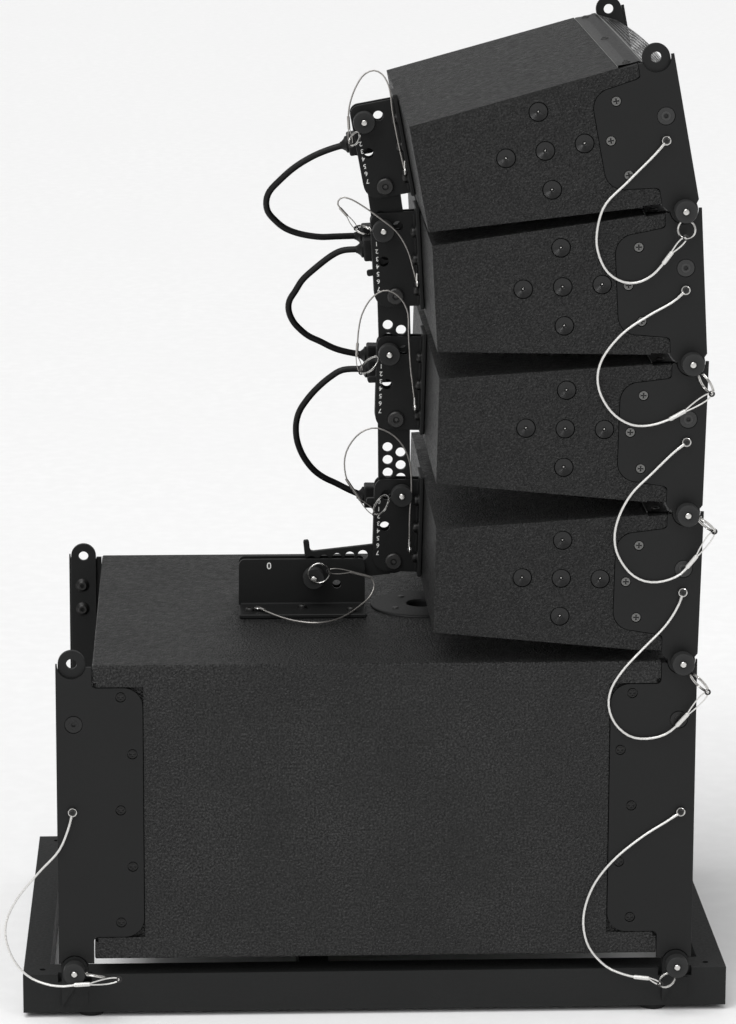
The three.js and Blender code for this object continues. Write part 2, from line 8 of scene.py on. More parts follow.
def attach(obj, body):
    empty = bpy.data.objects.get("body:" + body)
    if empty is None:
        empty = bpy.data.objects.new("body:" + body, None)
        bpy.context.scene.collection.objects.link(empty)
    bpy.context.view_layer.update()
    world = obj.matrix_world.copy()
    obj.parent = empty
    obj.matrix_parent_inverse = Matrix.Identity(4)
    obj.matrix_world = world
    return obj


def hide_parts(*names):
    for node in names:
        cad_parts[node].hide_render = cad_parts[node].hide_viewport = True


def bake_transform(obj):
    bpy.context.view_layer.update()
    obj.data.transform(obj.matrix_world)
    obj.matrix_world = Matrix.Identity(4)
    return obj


# The looks of a ground-stacked line array: four tapered loudspeaker elements on a subwoofer and its
# base frame. Shapes are drawn in millimetres and turned into metres when they become Blender meshes.
# +X is the front, +Z is up and "left" is the side at negative Y.

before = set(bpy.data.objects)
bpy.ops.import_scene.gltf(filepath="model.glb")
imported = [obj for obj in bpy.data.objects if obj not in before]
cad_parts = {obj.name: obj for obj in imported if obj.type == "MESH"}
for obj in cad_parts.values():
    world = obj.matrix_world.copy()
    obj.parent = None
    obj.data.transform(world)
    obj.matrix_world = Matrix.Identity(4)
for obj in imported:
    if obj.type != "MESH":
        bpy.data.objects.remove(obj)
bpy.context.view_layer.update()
scene = bpy.context.scene

MM = 0.001
# The name of each side, and 1 for the near side or -1 for the far one
SIDES = (("left", 1), ("right", -1))
ELEMENTS = (4, 3, 2, 1)
# From an element's lower front pin to the one above it: up, and forward
PITCH, LEAN = 195.5, -2.0
# Degrees by which each element's front is raised
TILTS = {4: -1.3, 3: -1.3, 2: 3.2, 1: 10.7}
PIN_X, SUB_PIN_Z, BASE_PIN_Z = 391.5, 476.0, 68.0
# X and Z of the rear bracket's pivot and holes, from the element's lower front pin
PIVOT = (-358.5, 55.5)
OUTER_HOLE, INNER_HOLE = (-370.5, 146.5), (-350.5, 149.5)
SUB_BRACKET_HOLE = (-73.5, 520.5)
HOLE_R = 6.75
REAR = -321.0
PLATE_FACE = -295.0


# --- Where each element and each hole bar is ----------------------------------------------------

def turned(tilt, x, z):
    """A point turned by a tilt in radians, front up."""
    cosine, sine = math.cos(tilt), math.sin(tilt)
    return (x * cosine - z * sine, x * sine + z * cosine)


origins = {}
place = (PIN_X, SUB_PIN_Z)
for number in ELEMENTS:
    origins[number] = place
    step = turned(math.radians(TILTS[number]), LEAN, PITCH)
    place = (place[0] + step[0], place[1] + step[1])


def to_world(n, x, z):
    """A point of element n's own X and Z in the stack's X and Z."""
    dx, dz = turned(math.radians(TILTS[n]), x, z)
    return (origins[n][0] + dx, origins[n][1] + dz)


def plane_matrix(x, z, angle):
    """The matrix in metres that puts a drawing at X and Z, turned by angle with its front up."""
    return Matrix.Translation((x * MM, 0, z * MM)) @ Matrix.Rotation(-angle, 4, "Y")


ELEMENT = {n: plane_matrix(*origins[n], math.radians(TILTS[n])) for n in ELEMENTS}


TOP_BAR_HOLES = {"rear": (-11.0, -40.1), "front": (6.5, -47.6)}
BAR_HOLE_STEP = 17.5


def bar_hole(column, index):
    """X and Z of a hole of the bar, from its pivot."""
    x, z = TOP_BAR_HOLES[column]
    return (x, z - BAR_HOLE_STEP * index)


def bar_matrix(n, target, column, index):
    """Where element n's bar hangs, with one of its holes over the target."""
    pivot = to_world(n, *PIVOT)
    hole = bar_hole(column, index)
    wanted = math.atan2(target[1] - pivot[1], target[0] - pivot[0])
    return plane_matrix(*pivot, wanted - math.atan2(hole[1], hole[0]))


BAR = {
    1: bar_matrix(1, to_world(2, *OUTER_HOLE), "rear", 1),
    2: bar_matrix(2, to_world(3, *OUTER_HOLE), "rear", 2),
    3: bar_matrix(3, to_world(4, *INNER_HOLE), "front", 3),
    4: bar_matrix(4, SUB_BRACKET_HOLE, "front", 3),
}

# --- Camera and light ---------------------------------------------------------------------------


def linked(name, data):
    """A new object in the scene."""
    made = bpy.data.objects.new(name, data)
    scene.collection.objects.link(made)
    return made


camera_data = bpy.data.cameras.new("camera")
camera_data.lens = 138.36
camera_data.shift_y = -0.12
camera = linked("camera", camera_data)
camera.location = (-0.23, -5.162, 1.826)
camera.rotation_euler = [math.radians(a) for a in (78.492, -0.212, -2.505)]
scene.camera = camera
scene.view_settings.view_transform = "Standard"

world = bpy.data.worlds.new("studio")
world.use_nodes = True
background = world.node_tree.nodes["Background"]
background.inputs["Color"].default_value = (1.0, 1.0, 1.0, 1)
background.inputs["Strength"].default_value = 0.5
scene.world = world


def facing(direction):
    """The rotation of a lamp that shines in a direction."""
    return direction.to_track_quat("-Z", "Y").to_euler()


def area_light(name, location, target, size, power):
    data = bpy.data.lights.new(name, "AREA")
    data.shape = "RECTANGLE"
    data.size, data.size_y = size
    data.energy = power
    light = linked(name, data)
    light.location = location
    light.rotation_euler = facing(Vector(target) - Vector(location))


# A wide soft sun lights the floor evenly; the two lamps put small highlights in the recesses
sun_data = bpy.data.lights.new("soft_sun", "SUN")
sun_data.energy = 2.1
sun_data.angle = math.radians(50)
linked("soft_sun", sun_data).rotation_euler = facing(Vector((0.35, 0.35, -1)))
area_light("lamp_left", (-2.6, -3.6, 2.7), (0, 0, 0.7), (0.7, 1.2), 26)
area_light("lamp_right", (2.4, -3.6, 2.3), (0.2, 0, 0.8), (0.6, 1.2), 22)

# --- Materials ----------------------------------------------------------------------------------


def material(name, dark, light, grain, rough, bump, metallic=0.0, specular=0.3, edge_wear_and_sheen=0.0,
             pebbles=False):
    """Colour varies between two tones and roughness between two values. grain is the size of the
    texture and bump its height, both in mm; the edge factor lightens the convex edges, partly as
    edge wear and partly as a painted highlight where edges catch the light; pebbles roughens the paint."""
    made = bpy.data.materials.new(name)
    made.use_nodes = True
    nodes, links = made.node_tree.nodes, made.node_tree.links
    shader = nodes["Principled BSDF"]
    shader.inputs["Metallic"].default_value = metallic
    shader.inputs["Specular IOR Level"].default_value = specular
    coords = nodes.new("ShaderNodeTexCoord")

    def noise(size_mm, detail):
        node = nodes.new("ShaderNodeTexNoise")
        node.inputs["Scale"].default_value = 1000 / size_mm
        node.inputs["Detail"].default_value = detail
        links.new(coords.outputs["Object"], node.inputs["Vector"])
        return node.outputs["Fac"]

    def mapped(value, low, high, to_low, to_high):
        node = nodes.new("ShaderNodeMapRange")
        limits = {"From Min": low, "From Max": high, "To Min": to_low, "To Max": to_high}
        for socket, limit in limits.items():
            node.inputs[socket].default_value = limit
        links.new(value, node.inputs["Value"])
        return node.outputs["Result"]

    def mixed(factor, first, second):
        node = nodes.new("ShaderNodeMix")
        node.data_type = "RGBA"
        links.new(factor, node.inputs["Factor"])
        for socket, colour in ((6, first), (7, second)):
            if isinstance(colour, tuple):
                node.inputs[socket].default_value = (*colour, 1)
            else:
                links.new(colour, node.inputs[socket])
        return node.outputs[2]

    fine = noise(grain, 3)
    broad = noise(grain * 28 + 40, 4)
    # Lighter where the fine noise is high; with pebbles this noise also lifts the bumps, so the lighter
    # tone sits on the peaks.
    tone = mixed(mapped(fine, 0.42, 0.68, 0, 1), dark, light)
    tone = mixed(mapped(broad, 0.3, 0.7, 0, 0.55), tone, dark)
    # Convex edges turn lighter: partly edge wear, partly a painted highlight along the edges that catch
    # the light.
    if edge_wear_and_sheen:
        edges = nodes.new("ShaderNodeNewGeometry").outputs["Pointiness"]
        edge_wear_and_sheen_tone = tuple(min(1, c * 3.2 + 0.02) for c in light)
        tone = mixed(mapped(edges, 0.52, 0.62, 0, edge_wear_and_sheen), tone, edge_wear_and_sheen_tone)
    links.new(tone, shader.inputs["Base Color"])
    links.new(mapped(noise(grain * 3, 4), 0.3, 0.7, *rough), shader.inputs["Roughness"])
    height = fine
    if pebbles:
        cells = nodes.new("ShaderNodeTexVoronoi")
        cells.feature = "SMOOTH_F1"
        cells.inputs["Scale"].default_value = 1000 / grain
        cells.inputs["Smoothness"].default_value = 0.6
        links.new(coords.outputs["Object"], cells.inputs["Vector"])
        rise = nodes.new("ShaderNodeMath")
        rise.operation = "SUBTRACT"
        links.new(fine, rise.inputs[0])
        links.new(cells.outputs["Distance"], rise.inputs[1])
        height = rise.outputs["Value"]
    relief = nodes.new("ShaderNodeBump")
    relief.inputs["Strength"].default_value = 1.0
    relief.inputs["Distance"].default_value = bump * MM
    links.new(height, relief.inputs["Height"])
    links.new(relief.outputs["Normal"], shader.inputs["Normal"])
    return made


# In both textured coatings the lighter tone lands on the pebble peaks: painted glints standing in for
# the highlights on the grain.
COATING = material("textured_coating", (0.0012, 0.0013, 0.0013), (0.034, 0.034, 0.0334), 2.7,
                   (0.4, 0.6), 1.9, specular=0.34, pebbles=True)
ELEMENT_COATING = material("fine_textured_coating", (0.001, 0.0011, 0.0011),
                           (0.024, 0.024, 0.0236), 2.6, (0.4, 0.6), 1.8, specular=0.3, pebbles=True)
SATIN = material("satin_powder_coat", (0.0068, 0.007, 0.007), (0.0105, 0.0108, 0.0105), 0.9,
                 (0.44, 0.54), 0.05, specular=0.24)
FRAME_PAINT = material("frame_powder_coat", (0.0105, 0.011, 0.011), (0.0165, 0.0168, 0.0165), 1.3,
                       (0.5, 0.62), 0.12, specular=0.2)
GRILLE = material("grille_steel", (0.03, 0.03, 0.03), (0.085, 0.085, 0.083), 1.1, (0.3, 0.42),
                  0.04, metallic=0.5, specular=0.4, edge_wear_and_sheen=0.8)
FLANGE = material("grille_flange", (0.008, 0.008, 0.008), (0.014, 0.014, 0.0138), 1.0,
                  (0.4, 0.52), 0.05, specular=0.26, edge_wear_and_sheen=0.6)
# Light metallic strips along the grille flanges' rear edges and front folds: painted highlight for the
# bright lines that these edges catch.
EDGE_HIGHLIGHT = material("painted_edge_highlight", (0.22, 0.22, 0.215), (0.42, 0.42, 0.41), 1.2, (0.3, 0.45), 0.03,
                     metallic=0.6)
PLASTIC = material("pin_plastic", (0.009, 0.0095, 0.0095), (0.015, 0.015, 0.0148), 0.8,
                   (0.45, 0.6), 0.07, specular=0.26, edge_wear_and_sheen=0.4)
DISC = material("recessed_disc", (0.018, 0.0182, 0.0182), (0.026, 0.026, 0.0255), 0.8,
                (0.36, 0.48), 0.04, specular=0.35, edge_wear_and_sheen=0.5)
# Near-black: the colour of the black plastic inserts and socket faces, and painted shade in the cross
# recesses and in the wells round screws and bolts.
DARK_PLASTIC_AND_SHADE = material("black_plastic_and_painted_shade", (0.002, 0.002, 0.002), (0.0045, 0.0045, 0.0045), 0.9,
                  (0.26, 0.38), 0.03, specular=0.4)
BLACK_STEEL = material("blackened_steel", (0.008, 0.008, 0.008), (0.026, 0.0255, 0.025), 0.7,
                       (0.3, 0.45), 0.04, metallic=0.6, edge_wear_and_sheen=0.7)
GREY_SCREW = material("grey_screw", (0.1, 0.1, 0.098), (0.2, 0.198, 0.19), 0.6, (0.36, 0.5), 0.05,
                      metallic=0.7, edge_wear_and_sheen=0.6)
WIRE = material("coated_wire", (0.62, 0.61, 0.59), (0.86, 0.85, 0.83), 0.8, (0.24, 0.38), 0.08,
                metallic=0.35, specular=0.6)
DARK_WIRE = material("stranded_wire", (0.3, 0.285, 0.27), (0.62, 0.6, 0.57), 0.7, (0.3, 0.42),
                     0.12, metallic=0.8)
STEEL = material("bright_steel", (0.55, 0.54, 0.52), (0.8, 0.79, 0.77), 0.9, (0.16, 0.3), 0.03,
                 metallic=1.0)
RUBBER = material("cable_rubber", (0.0025, 0.0025, 0.0025), (0.006, 0.006, 0.006), 1.5,
                  (0.42, 0.58), 0.06, specular=0.25)
FOOT_RUBBER = material("foot_rubber", (0.005, 0.005, 0.005), (0.01, 0.01, 0.01), 1.2, (0.6, 0.8),
                       0.15, specular=0.2)
CONE = material("cone_paper", (0.008, 0.008, 0.008), (0.02, 0.02, 0.019), 1.6, (0.6, 0.78), 0.2,
                specular=0.25)
SURROUND = material("surround_rubber", (0.005, 0.005, 0.005), (0.01, 0.01, 0.01), 1.0,
                    (0.35, 0.5), 0.05, specular=0.4)
HORN = material("horn_plastic", (0.008, 0.008, 0.008), (0.014, 0.014, 0.014), 1.0, (0.3, 0.42),
                0.06, specular=0.4)
PAINT_WHITE = material("number_paint", (0.72, 0.72, 0.7), (0.88, 0.88, 0.86), 0.6, (0.5, 0.65),
                       0.02)
FLOOR = material("studio_floor", (0.86, 0.86, 0.86), (0.89, 0.89, 0.89), 30, (0.6, 0.7), 0.01)

# --- Shapes: each is a list of points in mm and a list of faces --------------------------------


def joined(*parts):
    points, faces = [], []
    for part_points, part_faces in parts:
        start = len(points)
        points += part_points
        faces += [tuple(i + start for i in face) for face in part_faces]
    return points, faces


def moved(part, matrix):
    return [matrix @ Vector(p) for p in part[0]], part[1]


def shifted(part, x, y, z):
    return moved(part, Matrix.Translation((x, y, z)))


def mirrored(part):
    """The part on the other side of the stack."""
    return [Vector((p[0], -p[1], p[2])) for p in part[0]], [tuple(reversed(f)) for f in part[1]]


def both_sides(part):
    return joined(part, mirrored(part))


def evaluated(holder):
    """The mesh that an object's curve or modifiers make; the object itself is removed."""
    graph = bpy.context.evaluated_depsgraph_get()
    mesh = bpy.data.meshes.new_from_object(holder.evaluated_get(graph))
    bpy.data.objects.remove(holder)
    return mesh


def to_bmesh(mesh):
    bm = bmesh.new()
    bm.from_mesh(mesh)
    bpy.data.meshes.remove(mesh)
    return bm


def from_bmesh(bm):
    bm.verts.index_update()
    part = [v.co.copy() for v in bm.verts], [tuple(v.index for v in f.verts) for f in bm.faces]
    bm.free()
    return part


def outward(points, faces):
    """The part with all its faces turned outwards."""
    bm = bmesh.new()
    verts = [bm.verts.new(p) for p in points]
    for face in faces:
        bm.faces.new([verts[i] for i in face])
    bmesh.ops.recalc_face_normals(bm, faces=bm.faces)
    return from_bmesh(bm)


def circle(radius, x=0.0, z=0.0, sides=32):
    angles = [2 * math.pi * i / sides for i in range(sides)]
    return [(x + radius * math.cos(a), z + radius * math.sin(a)) for a in angles]


def arc(x, z, radius, start, end, sides=10):
    """Points on an arc, with its start and end in degrees."""
    angles = [math.radians(start + (end - start) * i / sides) for i in range(sides + 1)]
    return [(x + radius * math.cos(a), z + radius * math.sin(a)) for a in angles]


def flat(outline, holes, y0, y1, bevel=0.35):
    """A sheet drawn in X and Z with its holes, from y0 to y1, with slightly rounded edges."""
    curve = bpy.data.curves.new("sheet", "CURVE")
    curve.dimensions = "2D"
    curve.fill_mode = "BOTH"
    curve.bevel_depth = bevel
    curve.bevel_resolution = 1
    curve.offset = -bevel
    curve.extrude = (y1 - y0) / 2 - bevel
    for direction, loop in [(1, outline)] + [(-1, hole) for hole in holes]:
        area = sum(a[0] * b[1] - b[0] * a[1] for a, b in zip(loop, loop[1:] + loop[:1]))
        if area * direction < 0:
            loop = loop[::-1]
        spline = curve.splines.new("POLY")
        spline.points.add(len(loop) - 1)
        for point, (x, z) in zip(spline.points, loop):
            point.co = (x, z, 0, 1)
        spline.use_cyclic_u = True
    bm = to_bmesh(evaluated(linked("sheet", curve)))
    bpy.data.curves.remove(curve)
    bmesh.ops.remove_doubles(bm, verts=bm.verts, dist=1e-4)
    part = from_bmesh(bm)
    middle = (y0 + y1) / 2
    return [Vector((p.x, middle - p.z, p.y)) for p in part[0]], part[1]


def lathe(profile, sides=32, axis="Y"):
    """A turned shape from pairs of radius and distance along +axis, closed where the radius is 0."""
    points, faces, rings = [], [], []
    for radius, along in profile:
        if radius == 0:
            rings.append([len(points)] * sides)
            points.append((0, along, 0))
            continue
        rings.append(list(range(len(points), len(points) + sides)))
        points += [(x, along, z) for x, z in circle(radius, sides=sides)]
    for one, two in zip(rings, rings[1:]):
        for i in range(sides):
            j = (i + 1) % sides
            loop = [one[i], two[i], two[j], one[j]]
            face = [v for k, v in enumerate(loop) if v not in loop[:k]]
            if len(face) > 2:
                faces.append(tuple(face))
    turn = {"Y": Matrix(), "X": Matrix.Rotation(math.radians(-90), 4, "Z"),
            "Z": Matrix.Rotation(math.radians(90), 4, "X")}[axis]
    return outward([turn @ Vector(p) for p in points], faces)


def tube(path, radius, sides=10, closed=False):
    """A round tube along a path; radius is a number or a function of the share of the way along."""
    path = [Vector(p) for p in path]
    count = len(path)
    points, faces = [], []
    across = None
    for i, point in enumerate(path):
        before = path[(i - 1) % count] if closed or i else point
        after = path[(i + 1) % count] if closed or i < count - 1 else point
        along = (after - before).normalized()
        if across is None:
            across = along.orthogonal().normalized()
        across = (across - along * across.dot(along)).normalized()
        other = along.cross(across)
        r = radius(i / (count - 1)) if callable(radius) else radius
        for k in range(sides):
            a = 2 * math.pi * k / sides
            points.append(point + r * (across * math.cos(a) + other * math.sin(a)))
    for i in range(count if closed else count - 1):
        a, b = i * sides, ((i + 1) % count) * sides
        for k in range(sides):
            m = (k + 1) % sides
            faces.append((a + k, a + m, b + m, b + k))
    if not closed:
        faces.append(tuple(range(sides))[::-1])
        faces.append(tuple(range((count - 1) * sides, count * sides)))
    return points, faces


def block(x0, x1, y0, y1, z0, z1, bevel=1.0, segments=2):
    """A box between two positions on each axis, with rounded edges."""
    bm = bmesh.new()
    bmesh.ops.create_cube(bm, size=1)
    for v in bm.verts:
        v.co = Vector([high if side > 0 else low
                       for side, low, high in zip(v.co, (x0, y0, z0), (x1, y1, z1))])
    bmesh.ops.bevel(bm, geom=bm.edges[:], offset=bevel, segments=segments, profile=0.5, affect="EDGES")
    return from_bmesh(bm)


CURVE_STEPS = 12


def smooth_path(points, count):
    """A centripetal Catmull-Rom curve through the points, as evenly spaced samples."""
    points = [Vector(p) for p in points]
    ends = [2 * points[0] - points[1], *points, 2 * points[-1] - points[-2]]
    dense = []
    for a, b, c, d in zip(ends, ends[1:], ends[2:], ends[3:]):
        knots = [0.0]
        for p, q in ((a, b), (b, c), (c, d)):
            knots.append(knots[-1] + max((q - p).length, 1e-6) ** 0.5)
        for step in range(CURVE_STEPS):
            t = knots[1] + (knots[2] - knots[1]) * step / CURVE_STEPS

            def between(p, q, t0, t1):
                return p.lerp(q, (t - t0) / (t1 - t0))

            ab, bc, cd = (between(p, q, t0, t1)
                          for p, q, t0, t1 in zip((a, b, c), (b, c, d), knots, knots[1:]))
            first, second = between(ab, bc, *knots[:3:2]), between(bc, cd, *knots[1::2])
            dense.append(between(first, second, *knots[1:3]))
    dense.append(points[-1])
    lengths = [0.0]
    for p, q in zip(dense, dense[1:]):
        lengths.append(lengths[-1] + (q - p).length)
    result, k = [], 0
    for i in range(count):
        goal = lengths[-1] * i / (count - 1)
        while k < len(dense) - 2 and lengths[k + 1] < goal:
            k += 1
        share = (goal - lengths[k]) / max(lengths[k + 1] - lengths[k], 1e-9)
        result.append(dense[k].lerp(dense[k + 1], min(1, share)))
    return result


# Merging distance in mm, and the angles in degrees up to which a CAD edge is flat or stays unrounded
MERGE_DISTANCE, FLAT_ANGLE, ROUNDED_ANGLE = 0.02, 1.5, 38


def cad_part(node, to_local, wide, wide_width, narrow, cutters=None, keep=None):
    """A copy of a CAD node with its edges rounded: by wide_width where wide(edge) is true, and by
    narrow elsewhere. cutters is taken away first; keep(centre) tells the faces that stay."""
    bm = bmesh.new()
    bm.from_mesh(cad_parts[node].data)
    bmesh.ops.transform(bm, matrix=to_local @ Matrix.Scale(1000, 4), verts=bm.verts)
    bmesh.ops.remove_doubles(bm, verts=bm.verts, dist=MERGE_DISTANCE)
    if keep:
        gone = [f for f in bm.faces if not keep(f.calc_center_median())]
        bmesh.ops.delete(bm, geom=gone, context="FACES")
        bmesh.ops.holes_fill(bm, edges=[e for e in bm.edges if e.is_boundary])
    bmesh.ops.recalc_face_normals(bm, faces=bm.faces)
    if cutters:
        body, tool = (linked(name, bpy.data.meshes.new(name)) for name in ("body", "tool"))
        bm.to_mesh(body.data)
        bm.free()
        tool.data.from_pydata([tuple(p) for p in cutters[0]], [], cutters[1])
        modifier = body.modifiers.new("cut", "BOOLEAN")
        modifier.operation = "DIFFERENCE"
        modifier.solver = "EXACT"
        modifier.object = tool
        bm = to_bmesh(evaluated(body))
        bpy.data.objects.remove(tool)
    bmesh.ops.dissolve_limit(bm, angle_limit=math.radians(FLAT_ANGLE), verts=bm.verts, edges=bm.edges)
    weights = bm.edges.layers.float.new("bevel_weight_edge")
    for edge in bm.edges:
        if len(edge.link_faces) == 2 and edge.calc_face_angle(0) > math.radians(ROUNDED_ANGLE):
            edge[weights] = 1.0 if wide(edge) else narrow / wide_width
    mesh = bpy.data.meshes.new("rounded")
    bm.to_mesh(mesh)
    bm.free()
    body = linked("rounded", mesh)
    modifier = body.modifiers.new("round", "BEVEL")
    modifier.width = wide_width
    modifier.segments = 3
    modifier.limit_method = "WEIGHT"
    modifier.use_clamp_overlap = True
    return from_bmesh(to_bmesh(evaluated(body)))


# --- Pieces -------------------------------------------------------------------------------------

# In square metres: faces larger than this are shaded flat
BIG_FACE = 1.5e-4
# In metres: a face that is narrower than about twice this is shaded like its largest neighbour
SLIVER = 4e-5
SHARP_ANGLE = 34


def make_mesh(name, *groups):
    """A mesh in metres from pairs of part and material: smooth, with flat big faces and sharp
    edges."""
    points, faces, indices = [], [], []
    mesh = bpy.data.meshes.new(name)
    for index, (part, finish) in enumerate(groups):
        start = len(points)
        points += [tuple(c * MM for c in p) for p in part[0]]
        faces += [tuple(i + start for i in face) for face in part[1]]
        indices += [index] * len(part[1])
        mesh.materials.append(finish)
    mesh.from_pydata(points, [], faces)
    mesh.validate()
    if len(mesh.polygons) == len(indices):
        mesh.polygons.foreach_set("material_index", indices)
    mesh.polygons.foreach_set("use_smooth", [True] * len(mesh.polygons))
    mesh.set_sharp_from_angle(angle=math.radians(SHARP_ANGLE))
    holder = linked(name, mesh)
    modifier = holder.modifiers.new("normals", "WEIGHTED_NORMAL")
    modifier.keep_sharp = True
    modifier.weight = 100
    smooth = evaluated(holder)
    bpy.data.meshes.remove(mesh)
    smooth.name = name
    normals = [Vector(corner.vector) for corner in smooth.corner_normals]
    largest = {}
    for face in smooth.polygons:
        for v in face.vertices:
            if v not in largest or face.area > largest[v][0]:
                largest[v] = (face.area, face.normal.copy())
    for face in smooth.polygons:
        corners = [smooth.vertices[v].co for v in face.vertices]
        longest = max((a - b).length for a, b in zip(corners, corners[1:] + corners[:1]))
        for corner, v in zip(face.loop_indices, face.vertices):
            if face.area > BIG_FACE:
                normals[corner] = face.normal.copy()
            elif face.area < SLIVER * longest and largest[v][0] > BIG_FACE:
                normals[corner] = largest[v][1]
    smooth.normals_split_custom_set(normals)
    return smooth


def piece(name, mesh, body, matrix=Matrix(), stands_for=()):
    """A visible piece that rides on a body; stands_for names the CAD nodes that it replaces."""
    made = linked(name, mesh)
    made.matrix_world = matrix
    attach(made, body)
    if stands_for:
        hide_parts(*stands_for)
    return made


# The outline of a cross recess for a screw of this radius
CROSS_SCREW_R = 5.9
CROSS = [(-1, 1), (-1, 3.7), (1, 3.7), (1, 1), (3.7, 1), (3.7, -1), (1, -1), (1, -3.7), (-1, -3.7),
         (-1, -1), (-3.7, -1), (-3.7, 1)]


def screw(radius):
    """A flat cross-head screw whose face is at y = 0, facing -Y, and the dark disc under its cross,
    painted shade for the floor of the recess.
    """
    scale = radius / CROSS_SCREW_R
    cross = [(x * scale, z * scale) for x, z in CROSS]
    head = flat(circle(radius, sides=28), [cross], 0, 1.6, 0.25)
    width = radius * 0.7
    return head, lathe([(0, 1.4), (width, 1.4), (width, 1.8), (0, 1.8)], 20)


def recessed_bolt(radius):
    """A dished disc in a recess, and the dark well round it and in its socket, a cup of painted shade;
    its rim is at y = 0.
    """
    disc = flat(circle(radius - 0.8, sides=44), [circle(2.7, sides=6)], 0.1, 1.5, 0.4)
    rim = lathe([(radius * r, y)
                 for r, y in ((0.52, 0.12), (0.5, -0.25), (0.3, -0.25), (0.28, 0.12))], 36)
    well = lathe([(radius, 0.2), (radius - 0.2, 2.2), (0, 2.2)], 40)
    return joined(disc, rim), well


def torus(radius, wire, at, normal, turns=1, pitch=0.0, arc_steps=36):
    """A ring about a normal, or an open coil where turns is more than 1."""
    normal = Vector(normal).normalized()
    across = normal.orthogonal().normalized()
    other = normal.cross(across)
    count = arc_steps * turns
    path = []
    for i in range(count if turns == 1 else count + 1):
        a = 2 * math.pi * i / arc_steps
        lift = pitch * (i / arc_steps - turns / 2)
        path.append(Vector(at) + radius * (across * math.cos(a) + other * math.sin(a)) + normal * lift)
    return tube(path, wire, 8, closed=turns == 1)


# --- Speaker cables: from an element's output socket to the input socket of the one below ------

CABLE_R = 4.35
SOCKET_OUT = (48.0, 111.5)
SOCKET_IN = (84.0, 124.0)
CABLE_ROUTES = {
    1: [(-50, 51, 1091), (-73, 54, 1081), (-97, 56, 1066), (-117, 59, 1048), (-131, 62, 1032),
        (-135, 65, 1019), (-133, 67, 1005), (-123, 70, 992), (-110, 73, 981), (-91, 76, 973),
        (-63, 78, 968), (-41, 81, 968)],
    2: [(-32, 51, 954), (-45, 54, 948), (-73, 56, 926), (-87, 59, 912), (-96, 62, 897), (-104, 65, 883),
        (-105, 67, 870), (-99, 70, 854), (-88, 73, 841), (-77, 76, 832), (-63, 78, 825), (-39, 81, 813)],
    3: [(-33, 51, 790), (-49, 54, 780), (-67, 56, 764), (-81, 59, 747), (-91, 62, 730), (-95, 65, 712),
        (-94, 67, 692), (-88, 70, 673), (-79, 73, 657), (-68, 76, 644), (-56, 78, 635), (-43, 81, 628)],
}


def plug_part(y, z):
    """A plug in its socket on the rear panel: square shroud, collar, latch and cable boot."""
    shroud = block(-396, -323.5, y - 15, y + 15, z - 15, z + 15, 2.6, 3)
    collar = block(-350, -334, y - 16, y + 16, z - 16.2, z + 16.2, 1.4, 2)
    latch = block(-388, -366, y - 5, y + 5, z - 17, z - 13, 1.2)
    boot = lathe([(0, -394), (11.5, -394), (11.5, -398.5), (8.2, -400.5), (5.4, -404), (4.9, -406),
                  (0, -406)], 28, "X")
    return joined(shroud, collar, latch, shifted(boot, 0, y, z))


plug_meshes = {
    "out": make_mesh("plug_out", (plug_part(*SOCKET_OUT), RUBBER)),
    "in": make_mesh("plug_in", (plug_part(*SOCKET_IN), RUBBER)),
}
# The cable runs straight through its plugs, past these X
PLUG_X = (-328, -362, -397)
for n in (1, 2, 3):
    starts = [to_world(n, x, SOCKET_OUT[1]) for x in PLUG_X]
    ends = [to_world(n + 1, x, SOCKET_IN[1]) for x in PLUG_X[::-1]]
    route = ([(x, SOCKET_OUT[0], z) for x, z in starts] + CABLE_ROUTES[n]
             + [(x, SOCKET_IN[0], z) for x, z in ends])
    path = smooth_path(route, 90)
    upper = piece(f"speaker_cable_{n}_upper_plug", plug_meshes["out"], f"element_{n}",
                  ELEMENT[n])
    lower = piece(f"speaker_cable_{n}_lower_plug", plug_meshes["in"], f"element_{n + 1}",
                  ELEMENT[n + 1])
    cable = linked(f"speaker_cable_{n}_lead", make_mesh("lead", (tube(path, CABLE_R, 16), RUBBER)))
    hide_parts(f"speaker_cable_{n}")
    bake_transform(cable)

# --- Lanyards: each ties a quick-release pin to the part it goes through -----------------------

